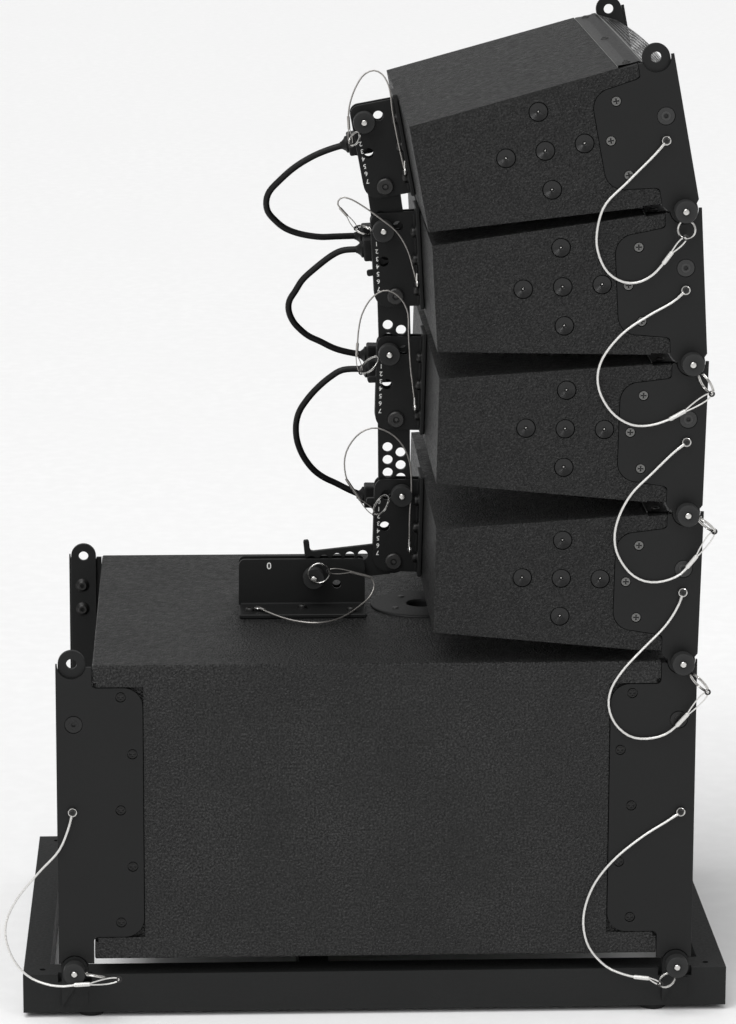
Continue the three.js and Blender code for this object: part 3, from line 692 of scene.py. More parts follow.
# Route of the wire from its eyelet to its ferrule, the ferrule's far end, the tip of the loop where
# the split ring hangs, where the ring meets the pin's head, degrees by which the ring faces the side,
# the body that holds the eyelet, and the wire's length in metres; X, Y and Z are of the near side
SIDE_LANYARDS = {
    "front_pin_1": dict(
        route=[(359, -299, 1150), (347, -299, 1135), (311, -299, 1098), (282, -299, 1067),
               (273, -299, 1029), (276, -299, 1006), (288, -299, 983), (307, -299, 971),
               (325, -299, 970), (343, -301, 979), (358, -304, 996)],
        ferrule=(368, -306, 1010), tip=(384, -311, 1029), head=(386, -311, 1050), face_on=60,
        host="element_1",
        length=0.305),
    "front_pin_2": dict(
        route=[(387, -299, 960), (372, -299, 946), (341, -299, 928), (308, -299, 905), (283, -299, 873),
               (277, -299, 850), (281, -299, 827), (298, -299, 801), (321, -299, 787), (344, -299, 786),
               (371, -301, 795)],
        ferrule=(389, -305, 806), tip=(421, -311, 829), head=(406, -311, 855), face_on=16,
        host="element_2",
        length=0.315),
    "front_pin_3": dict(
        route=[(392, -299, 764), (376, -299, 751), (349, -299, 724), (322, -299, 696), (306, -299, 664),
               (302, -299, 638), (307, -299, 616), (324, -299, 592), (343, -299, 582), (365, -299, 582),
               (386, -301, 591), (396, -303, 602)],
        ferrule=(407, -306, 617), tip=(428, -311, 650), head=(406, -311, 669), face_on=17,
        host="element_3",
        length=0.315),
    "front_pin_4": dict(
        route=[(391, -299, 567), (385, -299, 549), (370, -299, 524), (341, -299, 493), (316, -299, 465),
               (301, -299, 440), (298, -299, 417), (307, -299, 393), (327, -299, 376), (350, -299, 373),
               (372, -300, 379), (387, -303, 392)],
        ferrule=(400, -306, 408), tip=(424, -311, 438), head=(403, -311, 462), face_on=18,
        host="element_4",
        length=0.32),
    "base_front_pin": dict(
        route=[(394, -299, 274), (377, -299, 262), (346, -299, 242), (308, -299, 210), (283, -299, 177),
               (271, -299, 143), (270, -299, 117), (278, -299, 90), (301, -299, 64), (323, -300, 54),
               (338, -303, 51)],
        ferrule=(356, -306, 50), tip=(370, -311, 44), head=(388, -311, 55), face_on=24, host="base_sub",
        length=0.335),
    "base_rear_pin": dict(
        route=[(-392, -299, 281), (-398, -299, 258), (-410, -299, 230), (-436, -299, 201),
               (-465, -299, 165), (-479, -299, 135), (-480, -300, 112), (-469, -303, 82),
               (-450, -309, 63), (-425, -317, 55), (-405, -321, 54), (-390, -322, 56)],
        ferrule=(-371, -322, 57), tip=(-334, -314, 60), head=(-379, -311, 67), face_on=22,
        host="base_sub",
        length=0.34),
}
REAR_LANYARDS = {
    "rear_pin_1": dict(
        route=[(46, -30, 1072), (37, -32, 1111), (29, -34, 1152), (24, -36, 1186), (15, -36, 1202),
               (4, -36, 1207), (-8, -36, 1202), (-19, -36, 1186), (-27, -35, 1163), (-29, -34, 1145)],
        ferrule=(-28, -33, 1129), tip=(-25, -31, 1108), head=(-16, -29, 1124), face_on=24,
        host="element_1",
        length=0.245),
    "rear_pin_2": dict(
        route=[(63, -30, 922), (58, -32, 941), (50, -34, 968), (36, -36, 992), (15, -38, 1010),
               (-7, -38, 1026), (-26, -37, 1037), (-37, -36, 1039), (-43, -35, 1032), (-39, -34, 1024)],
        ferrule=(-30, -33, 1014), tip=(-18, -31, 997), head=(1, -29, 993), face_on=20, host="element_2",
        length=0.20),
    "rear_pin_3": dict(
        route=[(61, -30, 754), (60, -31, 768), (55, -33, 809), (52, -35, 852), (50, -37, 887),
               (39, -38, 906), (22, -38, 915), (4, -37, 906), (-10, -36, 883), (-15, -35, 858),
               (-16, -34, 842)],
        ferrule=(-17, -33, 826), tip=(-11, -31, 803), head=(11, -29, 822), face_on=18, host="element_3",
        length=0.28),
    "rear_pin_4": dict(
        route=[(55, -30, 559), (55, -31, 608), (57, -33, 645), (54, -36, 682), (43, -38, 707),
               (27, -38, 722), (7, -38, 729), (-12, -37, 722), (-28, -36, 702), (-33, -35, 683),
               (-29, -34, 656)],
        ferrule=(-11, -31, 628), tip=(8, -30, 609), head=(25, -29, 633), face_on=18, host="element_4",
        length=0.32),
    "sub_bracket_pin": dict(
        route=[(-148, -46, 485), (-138, -62, 484), (-115, -86, 481), (-94, -102, 480), (-73, -109, 480),
               (-52, -99, 480), (-34, -78, 481), (-14, -52, 487), (3, -35, 498), (8, -27, 511),
               (2, -26, 521)],
        ferrule=(-25, -32, 530), tip=(-54, -38, 533), head=(-80, -38, 527), face_on=78, host="base_sub",
        length=0.27),
}


SIDE_WIRE_R, REAR_WIRE_R = 1.5, 1.05


def eyelet_part(at, axis, towards):
    """A crimped eyelet under a pan-head screw; axis points out of the surface."""
    at, axis, towards = Vector(at), Vector(axis).normalized(), Vector(towards)
    along = (towards - at)
    along = (along - axis * along.dot(axis)).normalized()
    ring = torus(4.9, 1.15, at, axis)
    sleeve = tube([at + along * 5.2, at + along * 9, at + along * 15], lambda s: 2.1 - 0.3 * s, 10)
    return joined(ring, sleeve)


def out_screw(at, axis):
    """A pan-head screw that holds an eyelet."""
    head = lathe([(0, -3.4), (2.2, -3.3), (3.6, -2.6), (4.1, -1.3), (4.1, 2.6), (0, 2.6)], 24)
    # A dark cross just proud of the head: painted shade for its cross recess.
    recess = flat([(x * 0.6, z * 0.6) for x, z in CROSS], [], -3.55, -3.2, 0.05)
    turn = Vector((0, -1, 0)).rotation_difference(Vector(axis)).to_matrix().to_4x4()
    place_at = Matrix.Translation(at) @ turn
    return moved(head, place_at), moved(recess, place_at)


def lanyard(name, facts, radius, finish, axis, pin_body, flip=False):
    """The wire with its eyelet, screw, ferrule, loop and split ring, on the near or the far side."""
    def side(part):
        return mirrored(part) if flip else part

    host = facts["host"]
    route = [Vector(p) for p in facts["route"]]
    ferrule, tip, head = (Vector(facts[k]) for k in ("ferrule", "tip", "head"))
    path = smooth_path(route + [ferrule], 40)
    end = route[-1]
    wire = linked(f"{name}_wire", make_mesh(name, (side(tube(path, radius, 10)), finish)))
    head_part, recess = out_screw(path[0], axis)
    eyelet_mesh = make_mesh("eyelet", (side(eyelet_part(path[0], axis, path[2])), STEEL))
    eyelet = piece(f"{name}_eyelet", eyelet_mesh, host)
    screw_mesh = make_mesh("screw", (side(head_part), BLACK_STEEL), (side(recess), DARK_PLASTIC_AND_SHADE))
    fixing = piece(f"{name}_screw", screw_mesh, host)
    grow = radius / SIDE_WIRE_R
    sleeve = tube([end.lerp(ferrule, s) for s in (-0.1, 0.0, 0.06, 0.5, 0.94, 1.0)],
                  lambda s: grow * (2.75 if 0.1 < s < 0.95 else 2.3), 14)
    along = (tip - ferrule).normalized()
    outwards = along.cross(Vector((0, 1, 0))).normalized()
    length = (tip - ferrule).length
    loop_path = []
    for k in range(29):
        a = 2 * math.pi * k / 28
        reach = (1 - math.cos(a)) / 2
        wide = math.sin(a) * min(5.0, 0.17 * length) * (0.35 + 0.65 * reach)
        loop_path.append(ferrule - along * 2 + along * (length + 2) * reach + outwards * wide)
    loop = tube(loop_path, radius * 0.62, 8)
    collar = torus(3.0 * grow ** 0.5, 1.25 * grow ** 0.5, tip, along.cross(outwards), arc_steps=20)
    ferrule_mesh = make_mesh("ferrule", (side(joined(sleeve, loop)), finish),
                             (side(collar), BLACK_STEEL))
    ferrule_piece = piece(f"{name}_ferrule", ferrule_mesh, pin_body)
    ring_r = min(15.0, (tip - head).length / 2 + 1.0)
    flat_dir = (tip - head).normalized()
    centre = head + flat_dir * (ring_r - 1.0)
    upright = flat_dir.cross(Vector((0, 1, 0))).normalized()
    opening = math.radians(facts["face_on"])
    second = Vector((0, -1, 0)) * math.cos(opening) + upright * math.sin(opening)
    normal = flat_dir.cross(second)
    coil = torus(ring_r, 0.85 * grow ** 0.5, centre, normal, turns=2, pitch=1.75 * grow ** 0.5)
    ring = piece(f"{name}_ring", make_mesh("ring", (side(coil), STEEL)), pin_body)
    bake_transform(wire)


def front_to_back(facts):
    """The facts of the same lanyard at the other end of the stack."""
    def other(point):
        return (-point[0], *point[1:])

    return {**facts, "route": [other(p) for p in facts["route"]],
            **{part: other(facts[part]) for part in ("ferrule", "tip", "head")}}


for key, near_facts in SIDE_LANYARDS.items():
    for side_name, sign in SIDES:
        facts = near_facts
        if key == "base_rear_pin" and sign < 0:
            # None is seen behind the stack on the far side, so this one hangs forward of its pin
            facts = front_to_back(SIDE_LANYARDS["base_front_pin"])
        lanyard(f"{key}_{side_name}_lanyard", facts, SIDE_WIRE_R, WIRE, (0, -1, 0), f"{key}_{side_name}",
                flip=sign < 0)
for key, facts in REAR_LANYARDS.items():
    out = (0, 0, 1) if key == "sub_bracket_pin" else (-1, 0, 0)
    lanyard(f"{key}_lanyard", facts, REAR_WIRE_R, DARK_WIRE, out, key)

# --- Quick-release pins -------------------------------------------------------------------------


PIN_SHANK = 6.3


def pin_mesh(name, end):
    """A pin at the origin whose head stands at -Y of the face at y = 0 and whose shank ends at end."""
    shank = lathe([(0, end), (PIN_SHANK - 1.2, end), (PIN_SHANK, end - 1.2), (PIN_SHANK, -0.4),
                   (9, -0.5),
                   (9, -7.8)], 32)
    head = lathe([(9, -7.6), (13.9, -7.8), (14.6, -8.6), (14.6, -20.4), (13.6, -21.9), (5.2, -22.0),
                  (4.6, -21.4), (0, -21.4)], 48)
    button = lathe([(3.9, -21.0), (3.9, -22.2), (3.2, -22.9), (0, -23.2)], 28)
    return make_mesh(name, (head, PLASTIC), (shank, STEEL), (button, STEEL))


side_pin, rear_pin = pin_mesh("side_pin", 12.8), pin_mesh("rear_pin", 7.4)
HALF_TURN = Matrix.Rotation(math.pi, 4, "Z")
# The two faces of a bracket's cheek, from the middle
CHEEK_INNER, CHEEK_OUTER = 7.0, 12.0


def at_point(x, y, z, sign=1):
    """A matrix in metres at a point, turned to face +Y on the far side."""
    base = Matrix.Translation((x * MM, sign * y * MM, z * MM))
    return base if sign > 0 else base @ HALF_TURN


for side_name, sign in SIDES:
    for n in ELEMENTS:
        piece(f"front_pin_{n}_{side_name}", side_pin, f"front_pin_{n}_{side_name}",
              at_point(origins[n][0], PLATE_FACE, origins[n][1], sign),
              [f"element_{n}_front_pin_{side_name}"])
    for end_name, x in (("front", PIN_X), ("rear", -PIN_X)):
        body = f"base_{end_name}_pin_{side_name}"
        piece(f"base_pin_{end_name}_{side_name}", side_pin, body,
              at_point(x, PLATE_FACE, BASE_PIN_Z, sign), [body])
for n in ELEMENTS:
    x, z = to_world(n, *(INNER_HOLE if n == 4 else OUTER_HOLE))
    piece(f"bracket_pin_{n}", rear_pin, f"rear_pin_{n}", at_point(x, -CHEEK_OUTER, z),
          [f"element_{n}_rear_pin"])
x, z = SUB_BRACKET_HOLE
piece("bracket_pin_sub", rear_pin, "sub_bracket_pin", at_point(x, -CHEEK_OUTER, z),
      ["sub_top_bracket_pin"])

# --- Rigging plates -----------------------------------------------------------------------------

LUG_R, POCKET_R = 17.6, 18.6
FRONT_EDGE, NECK_EDGE, WIDE_EDGE = 20.5, -26.0, -90.5
PLATE_SCREWS, PLATE_BOLT = [(-61, 151), (-76, 103), (-61, 56)], (-2.6, 121)
SCREW_HOLE, BOLT_HOLE = 6.7, 11.7
PLATE_INNER, SHEET_EDGE = PLATE_FACE + 5, 0.45
# The outer and the inner face of the second lug, behind the plate
LUG_FACES = (-289.9, -283.2)


def hole(x, z, radius=HOLE_R):
    return circle(radius, x, z, 36)


def element_plate():
    outline = [(FRONT_EDGE, 9.5), (FRONT_EDGE, PITCH + 1)]
    outline += arc(LEAN, PITCH, POCKET_R, 3, -169.8, 24)
    outline += [(NECK_EDGE, PITCH - 3.3), (NECK_EDGE, 177), (NECK_EDGE - 1.5, 174.5),
                (NECK_EDGE - 5, 173)]
    outline += arc(WIDE_EDGE + 25, 143, 25, 90, 180) + arc(WIDE_EDGE + 25, 64, 25, 180, 270)
    outline += [(NECK_EDGE - 5, 34), (NECK_EDGE - 1.5, 32.5), (NECK_EDGE, 30), (NECK_EDGE, 9.5),
                (-24.5, 7),
                (-19, 1.2)]
    outline += arc(0, 0, LUG_R, 176, 376, 28)
    bores = [hole(0, 0)] + [hole(x, z, SCREW_HOLE) for x, z in PLATE_SCREWS]
    bores.append(hole(*PLATE_BOLT, BOLT_HOLE))
    outer = flat(outline, bores, PLATE_FACE, PLATE_INNER, SHEET_EDGE)
    lug_outline = [(LEAN + LUG_R, 26)] + arc(LEAN, PITCH, LUG_R, 0, 180, 28) + [(LEAN - LUG_R, 26)]
    lug = flat(lug_outline, [hole(LEAN, PITCH)], *LUG_FACES, 0.4)
    return joined(outer, lug)


def plate_hardware(screws, bolt):
    """Cross-head screws, the recessed bolt's disc, and the dark wells of both, painted shade in their
    holes, for the near side.
    """
    head, cross = screw(5.6)
    well = lathe([(SCREW_HOLE, 0.4), (SCREW_HOLE - 0.2, 2.6), (0, 2.6)], 28)
    heads, wells = ([shifted(part, x, PLATE_FACE + 0.45, z) for x, z in screws]
                    for part in (head, joined(cross, well)))
    disc, bolt_well = (shifted(part, bolt[0], PLATE_FACE + 0.1, bolt[1])
                       for part in recessed_bolt(BOLT_HOLE))
    return joined(*heads), disc, joined(*wells, bolt_well)


plate = element_plate()
hardware = plate_hardware(PLATE_SCREWS, PLATE_BOLT)
plate_meshes = {}
for side_name, sign in SIDES:
    plate_part, *hardware_parts = [part if sign > 0 else mirrored(part) for part in (plate, *hardware)]
    plate_meshes[side_name] = (
        make_mesh(f"plate_{side_name}", (plate_part, SATIN)),
        make_mesh(f"plate_fixings_{side_name}", *zip(hardware_parts, (GREY_SCREW, DISC, DARK_PLASTIC_AND_SHADE))))
for n in ELEMENTS:
    for side_name, _ in SIDES:
        body = f"element_{n}"
        plate_mesh, screw_mesh = plate_meshes[side_name]
        piece(f"element_{n}_side_plate_{side_name}", plate_mesh, body, ELEMENT[n],
              [f"element_{n}_plate_{side_name}"])
        piece(f"element_{n}_plate_fixings_{side_name}", screw_mesh, body, ELEMENT[n])

# --- Element cabinets with their threaded inserts -----------------------------------------------

INSERTS = [(-159, 106), (-159, 156), (-159, 56), (-209, 106), (-109, 106)]


# The cabinet's side, and the outer face of what stands in it
CABINET_SIDE, INSERT_FACE = -294.4, -294.2


def top_at(x):
    return 168 + 0.087 * (x - REAR)


def bottom_at(x):
    return 32 - 0.0734 * (x - REAR)


def insert_part():
    """A threaded insert whose rim is at y = 0, facing -Y: a rim, a dished disc and a bored centre."""
    return lathe([(0, 5.4), (2.5, 5.4), (2.6, 3.4), (3.3, 2.9), (7.5, 1.5), (10.6, 0.7), (11.2, 0.5),
                  (11.6, 0.8), (11.7, 3.0)], 40)


insert_hole = lathe([(0, -4), (12.5, -4), (12.5, 6), (0, 6)], 40)
cutters = []
for x, z in INSERTS:
    near_hole = shifted(insert_hole, x, CABINET_SIDE, z)
    cutters += [near_hole, mirrored(near_hole)]


def on_outline(v):
    """Whether a point is on the cabinet's outer edges, away from its open front."""
    x, z = v.co.x, v.co.z
    return x < -49 and (x < REAR + 0.5 or abs(z - top_at(x)) < 0.4 or abs(z - bottom_at(x)) < 0.4)


def local(n):
    """From the stack's millimetres to element n's own."""
    x, z = origins[n]
    return Matrix.Rotation(math.radians(TILTS[n]), 4, "Y") @ Matrix.Translation((-x, 0, -z))


cabinet = cad_part("element_4_cabinet", local(4), lambda e: all(on_outline(v) for v in e.verts),
                   3.2, 0.6, cutters=joined(*cutters))
cabinet_mesh = make_mesh("cabinet", (cabinet, ELEMENT_COATING))
thread = lathe([(0, 3.0), (0.8, 3.3), (1.2, 4.0), (1.2, 5.3)], 16)
insert_mesh, thread_mesh = (
    make_mesh(name, (both_sides(joined(*[shifted(part, x, INSERT_FACE, z) for x, z in INSERTS])),
                     finish))
    for name, part, finish in (("inserts", insert_part(), DARK_PLASTIC_AND_SHADE), ("insert_threads", thread, STEEL)))
for n in ELEMENTS:
    piece(f"element_{n}_shell", cabinet_mesh, f"element_{n}", ELEMENT[n],
          [f"element_{n}_cabinet"])
    piece(f"element_{n}_inserts", insert_mesh, f"element_{n}", ELEMENT[n])
    piece(f"element_{n}_insert_threads", thread_mesh, f"element_{n}", ELEMENT[n])

# --- Perforated grilles -------------------------------------------------------------------------


def profile_point(profile, along):
    """The point of an X and Z polyline at a distance along it."""
    for (x0, z0), (x1, z1) in zip(profile, profile[1:]):
        length = math.hypot(x1 - x0, z1 - z0)
        if along <= length:
            share = along / length
            return (x0 + (x1 - x0) * share, z0 + (z1 - z0) * share)
        along -= length
    return profile[-1]


def profile_length(profile):
    return sum(math.hypot(b[0] - a[0], b[1] - a[1]) for a, b in zip(profile, profile[1:]))


def bowed(x, y, z, half, bow_from, bow):
    """A grille's point pushed forward by up to bow in the middle of the width, from X = bow_from."""
    share = max(0.0, min(1.0, (x - bow_from) / 40))
    return Vector((x + share * bow * (1 - (y / half) ** 2), y, z))


def perforated(profile, half, bow_from, bow, pitch=5.4, radius=1.9):
    """A sheet of staggered six-sided holes along a profile; each cell is a hexagon round its hole."""
    total = profile_length(profile)
    row_step = total / round(total / (pitch * math.sqrt(3) / 2))
    rows = round(total / row_step) - 1
    columns = int(2 * (half - 4) / pitch)
    points, faces, index = [], [], {}

    def vertex(u, v):
        v = max(0.0, min(total, v))
        key = (round(u, 2), round(v, 2))
        if key not in index:
            x, z = profile_point(profile, v)
            index[key] = len(points)
            points.append(bowed(x, u, z, half, bow_from, bow))
        return index[key]

    stretch = row_step / (pitch * math.sqrt(3) / 2)
    cell = pitch / math.sqrt(3)
    for row in range(rows):
        v = (row + 1) * row_step
        for column in range(columns):
            u = (column - (columns - 1) / 2 + (0.25 if row % 2 else -0.25)) * pitch
            outer, inner = [], []
            for k in range(6):
                a = math.radians(60 * k + 30)
                across, along = math.cos(a), math.sin(a)
                outer.append(vertex(u + cell * across, v + cell * along * stretch))
                inner.append(vertex(u + radius * across, v + radius * along))
            for k in range(6):
                m = (k + 1) % 6
                faces.append((outer[k], outer[m], inner[m], inner[k]))
    return points, faces


def strip(profile, y0, y1, half, bow_from, bow, thick, pieces):
    """A closed strip of folded sheet along a profile between two positions across the width."""
    mean_x, mean_z = (sum(values) / len(profile) for values in zip(*profile))
    middle = (mean_x - 30, mean_z)
    outer, inner = [], []
    for i, (x, z) in enumerate(profile):
        ax, az = profile[max(0, i - 1)]
        bx, bz = profile[min(len(profile) - 1, i + 1)]
        nx, nz = -(bz - az), bx - ax
        size = math.hypot(nx, nz) or 1
        if (nx * (x - middle[0]) + nz * (z - middle[1])) < 0:
            nx, nz = -nx, -nz
        outer.append((x, z))
        inner.append((x - nx / size * thick, z - nz / size * thick))
    loop = outer + inner[::-1]
    points, faces = [], []
    for i in range(pieces + 1):
        y = y0 + (y1 - y0) * i / pieces
        points += [bowed(x, y, z, half, bow_from, bow) for x, z in loop]
    count = len(loop)
    for i in range(pieces):
        for k in range(count):
            m = (k + 1) % count
            faces.append((i * count + k, i * count + m, (i + 1) * count + m, (i + 1) * count + k))
    faces.append(tuple(range(count))[::-1])
    faces.append(tuple(range(pieces * count, (pieces + 1) * count)))
    return outward(points, faces)


FLANGE_REAR, FLANGE_FRONT, NOSE = -50.5, -24.0, 13.0
# Half a grille's width, and the positions across it of its two plain end strips
GRILLE_HALF = 280.0
END_STRIPS = ((-280, -270), (270, 280))


def nose_curve():
    """The folded front of the element's grille, from the top flange down to the bottom one."""
    top = [(FLANGE_FRONT, top_at(FLANGE_FRONT) - 0.4), (NOSE - 7, 178.5), (NOSE - 2.2, 174.5),
           (NOSE, 170)]
    bottom = [(NOSE, 32), (NOSE - 2.2, 27.5), (NOSE - 7, 23.5),
              (FLANGE_FRONT, bottom_at(FLANGE_FRONT) + 0.4)]
    return top + bottom


nose = nose_curve()
bow_facts = (GRILLE_HALF, FLANGE_FRONT, 9)
grille_parts = [perforated(nose, *bow_facts)]
for y0, y1 in END_STRIPS:
    grille_parts.append(strip(nose, y0, y1, *bow_facts, thick=1.3, pieces=2))
flange_edge_highlights = []
for face_at, inwards in ((top_at, -1), (bottom_at, 1)):
    flange = [(FLANGE_REAR, face_at(FLANGE_REAR) + 0.2 * inwards),
              (FLANGE_FRONT, face_at(FLANGE_FRONT) + 0.2 * inwards),
              (FLANGE_FRONT + 4.5, face_at(FLANGE_FRONT) + 2.4 * inwards)]
    grille_parts.append(strip(flange, -GRILLE_HALF, GRILLE_HALF, *bow_facts, thick=1.4, pieces=16))
    # A thin light strip at each edge of the flange: painted highlight along that edge.
    for x, z in (flange[0], flange[-1]):
        edge_path = [bowed(x, GRILLE_HALF * (i / 8 - 1), z, *bow_facts) for i in range(17)]
        flange_edge_highlights.append(tube(edge_path, 0.65, 6))
grille_mesh = make_mesh("grille", (joined(*grille_parts[:3]), GRILLE),
                        (joined(*grille_parts[3:]), FLANGE), (joined(*flange_edge_highlights), EDGE_HIGHLIGHT))
flange_screw = lathe([(0, 0), (5.6, 0), (5.2, 1.6), (3.0, 2.5), (0, 2.6)], 24, "Z")
# The dark cross on each flange screw is painted shade for its recess.
recess = block(-2.6, 2.6, -0.6, 0.6, 2.3, 2.9, 0.1)
cross_recess = joined(recess, moved(recess, Matrix.Rotation(math.pi / 2, 4, "Z")))
FLANGE_SCREW_X = -38
above = Matrix.Translation((FLANGE_SCREW_X, 0, top_at(FLANGE_SCREW_X) - 0.3))
below = Matrix.Translation((FLANGE_SCREW_X, 0, bottom_at(FLANGE_SCREW_X) + 0.3))
below = below @ Matrix.Rotation(math.pi, 4, "X")
spots = [Matrix.Translation((0, y, 0)) @ stand for y in (-262, 0, 262) for stand in (above, below)]
flange_screw_mesh = make_mesh("flange_screws", *[
    (joined(*[moved(part, m) for m in spots]), finish)
    for part, finish in ((flange_screw, BLACK_STEEL), (cross_recess, DARK_PLASTIC_AND_SHADE))])
for n in ELEMENTS:
    piece(f"element_{n}_front_grille", grille_mesh, f"element_{n}", ELEMENT[n],
          [f"element_{n}_grille"])
    piece(f"element_{n}_grille_screws", flange_screw_mesh, f"element_{n}", ELEMENT[n])

# --- Drivers: cones, surrounds, baskets, horn and motor -----------------------------------------


BAFFLE_X, MIDDLE_Z = -34.0, 101.0


def cone_parts(radius):
    """A cone driver facing +X with its flange's front at x = 0: basket ring, surround, cone and cap."""
    r = radius
    ring = lathe([(r * 0.86, -0.05 * r), (r * 0.87, 0), (r * 0.985, 0), (r, -0.012 * r), (r, -0.07 * r),
                  (r * 0.6, -0.72 * r), (r * 0.58, -1.12 * r), (r * 0.54, -1.15 * r),
                  (0, -1.15 * r)], 56, "X")
    bulge = [(r * (0.79 - 0.07 * math.cos(a)), r * (0.045 * math.sin(a) - 0.03))
             for a in (math.pi * i / 8 for i in range(9))]
    surround = lathe(bulge[::-1], 56, "X")
    ribs = []
    for i in range(13):
        share = i / 12
        rise = 0.006 if i % 3 == 1 else 0
        ribs.append((r * (0.72 - 0.46 * share), r * (-0.03 - 0.36 * share ** 0.85 + rise)))
    cone = lathe(ribs, 56, "X")
    cap = lathe([(r * 0.27 * math.cos(a), r * (-0.385 + 0.13 * math.sin(a)))
                 for a in (math.pi / 2 * i / 8 for i in range(8))] + [(0, r * -0.255)], 40, "X")
    studs = []
    for k in range(8):
        a = 2 * math.pi * (k + 0.5) / 8
        stud = lathe([(0, 2.6), (2.4, 2.4), (3.2, 1.2), (3.2, -1)], 16, "X")
        studs.append(shifted(stud, 0, 0.93 * r * math.cos(a), 0.93 * r * math.sin(a)))
    return joined(ring, joined(*studs)), surround, joined(cone, cap)


def ring_of(y_half, z_half, corner, x):
    """A rounded rectangle across the front at X, as points."""
    points = []
    for cy, cz, start in ((1, 1, 0), (-1, 1, 90), (-1, -1, 180), (1, -1, 270)):
        for y, z in arc(cy * (y_half - corner), cz * (z_half - corner), corner, start, start + 90, 8):
            points.append((x, y, z + MIDDLE_Z))
    return points


def lofted(rings):
    """A skin over rings of as many points each, closed at the last one."""
    count = len(rings[0])
    faces = []
    for i in range(len(rings) - 1):
        for k in range(count):
            m = (k + 1) % count
            faces.append((i * count + k, i * count + m, (i + 1) * count + m, (i + 1) * count + k))
    faces.append(tuple(range((len(rings) - 1) * count, len(rings) * count)))
    return [Vector(p) for ring in rings for p in ring], faces


DRIVER_Y = (-170, 170)
baffle_holes = [circle(61, y, MIDDLE_Z, 48) for y in DRIVER_Y]
baffle_outline = [(-266, 34), (266, 34), (266, 168), (-266, 168)]
mouth = [(-58, 46), (58, 46), (58, 156), (-58, 156)]
turn_to_front = Matrix(((0, 1, 0, 0), (1, 0, 0, 0), (0, 0, 1, 0), (0, 0, 0, 1)))
board_points, board_faces = flat(baffle_outline, baffle_holes + [mouth], BAFFLE_X - 12, BAFFLE_X, 0.8)
board = ([turn_to_front @ p for p in board_points], [tuple(reversed(f)) for f in board_faces])
# Half the width and height of the horn, the radius of its corners, and the distance from the baffle
horn = lofted([ring_of(y_half, z_half, corner, BAFFLE_X + x) for y_half, z_half, corner, x in (
    (64, 61, 8, 1.5), (61, 58, 7, 2.2), (56, 53, 6, 1), (44, 46, 6, -14), (30, 40, 6, -34),
    (16, 36, 6, -58), (8, 34, 5, -80))])
motor = lathe([(0, 0), (42, 0), (48, -4), (48, -22), (46, -24), (46, -46), (42, -50), (0, -50)], 40, "X")
ring, surround, cone = cone_parts(70)
driver_mesh = make_mesh(
    "drivers", (board, HORN), (horn, HORN), (shifted(motor, BAFFLE_X - 85, 0, MIDDLE_Z), BLACK_STEEL),
    *[(joined(*[shifted(part, BAFFLE_X + 1, y, MIDDLE_Z) for y in DRIVER_Y]), finish)
      for part, finish in ((ring, BLACK_STEEL), (surround, SURROUND), (cone, CONE))])
for n in ELEMENTS:
    piece(f"element_{n}_drivers", driver_mesh, f"element_{n}", ELEMENT[n],
          [f"element_{n}_driver_module"])

# --- Rear brackets with their degree scale, and the hole bars -----------------------------------


# Painted numbers stand this far across, just proud of a cheek
NUMBER_Y = -12.1


def digit(text, size, x, z, upside_down=True):
    """A painted number facing -Y."""
    curve = bpy.data.curves.new("digit", "FONT")
    curve.body = text
    curve.size = size
    curve.align_x, curve.align_y = "CENTER", "CENTER"
    curve.extrude = 0.06
    curve.offset = 0.12
    part = from_bmesh(to_bmesh(evaluated(linked("digit", curve))))
    turn = Matrix.Rotation(math.pi, 4, "Y") if upside_down else Matrix()
    stand = Matrix.Rotation(math.pi / 2, 4, "X")
    return moved(part, Matrix.Translation((x, NUMBER_Y, z)) @ turn @ stand)


def cheek_pair(outline, holes):
    return both_sides(flat(outline, holes, -CHEEK_OUTER, -CHEEK_INNER, SHEET_EDGE))


NUMBER_STEP = 10.13
cheek_outline = [(-324, 41), (-324, 168)] + arc(-374.5, 156, 12, 90, 180) + arc(-366.5, 61, 20, 180, 270)
cheek_holes = [hole(*p) for p in (OUTER_HOLE, INNER_HOLE, (-371.5, 103), PIVOT)]
cheeks = cheek_pair(cheek_outline, cheek_holes)
foot = block(-327.3, -321.4, -33, 33, 39, 176, 1.6, 3)
bolt_head = lathe([(0, 1.0), (8.6, 1.0), (8.6, 0), (7.0, 0), (7.0, -1.6), (6.4, -4.6), (4.4, -6.4),
                   (2.6, -6.4), (2.6, -5.2), (0, -5.2)], 28, "X")
foot_bolts = joined(*[shifted(bolt_head, -328, y, z) for y in (-23, 23) for z in (142, 105, 63.6)])
seams = joined(*[block(-330, -326, s * 9.5 - 3.6, s * 9.5 + 3.6, 44, 165, 1.4) for s in (-1, 1)])
numbers = joined(*[digit(str(k), 8.4, -380.2, 137.7 - k * NUMBER_STEP) for k in range(8)])
bracket_mesh = make_mesh("rear_bracket", (joined(cheeks, foot, seams), SATIN))
bracket_bolt_mesh = make_mesh("bracket_bolts", (foot_bolts, BLACK_STEEL))
numbers_mesh = make_mesh("numbers", (numbers, PAINT_WHITE))

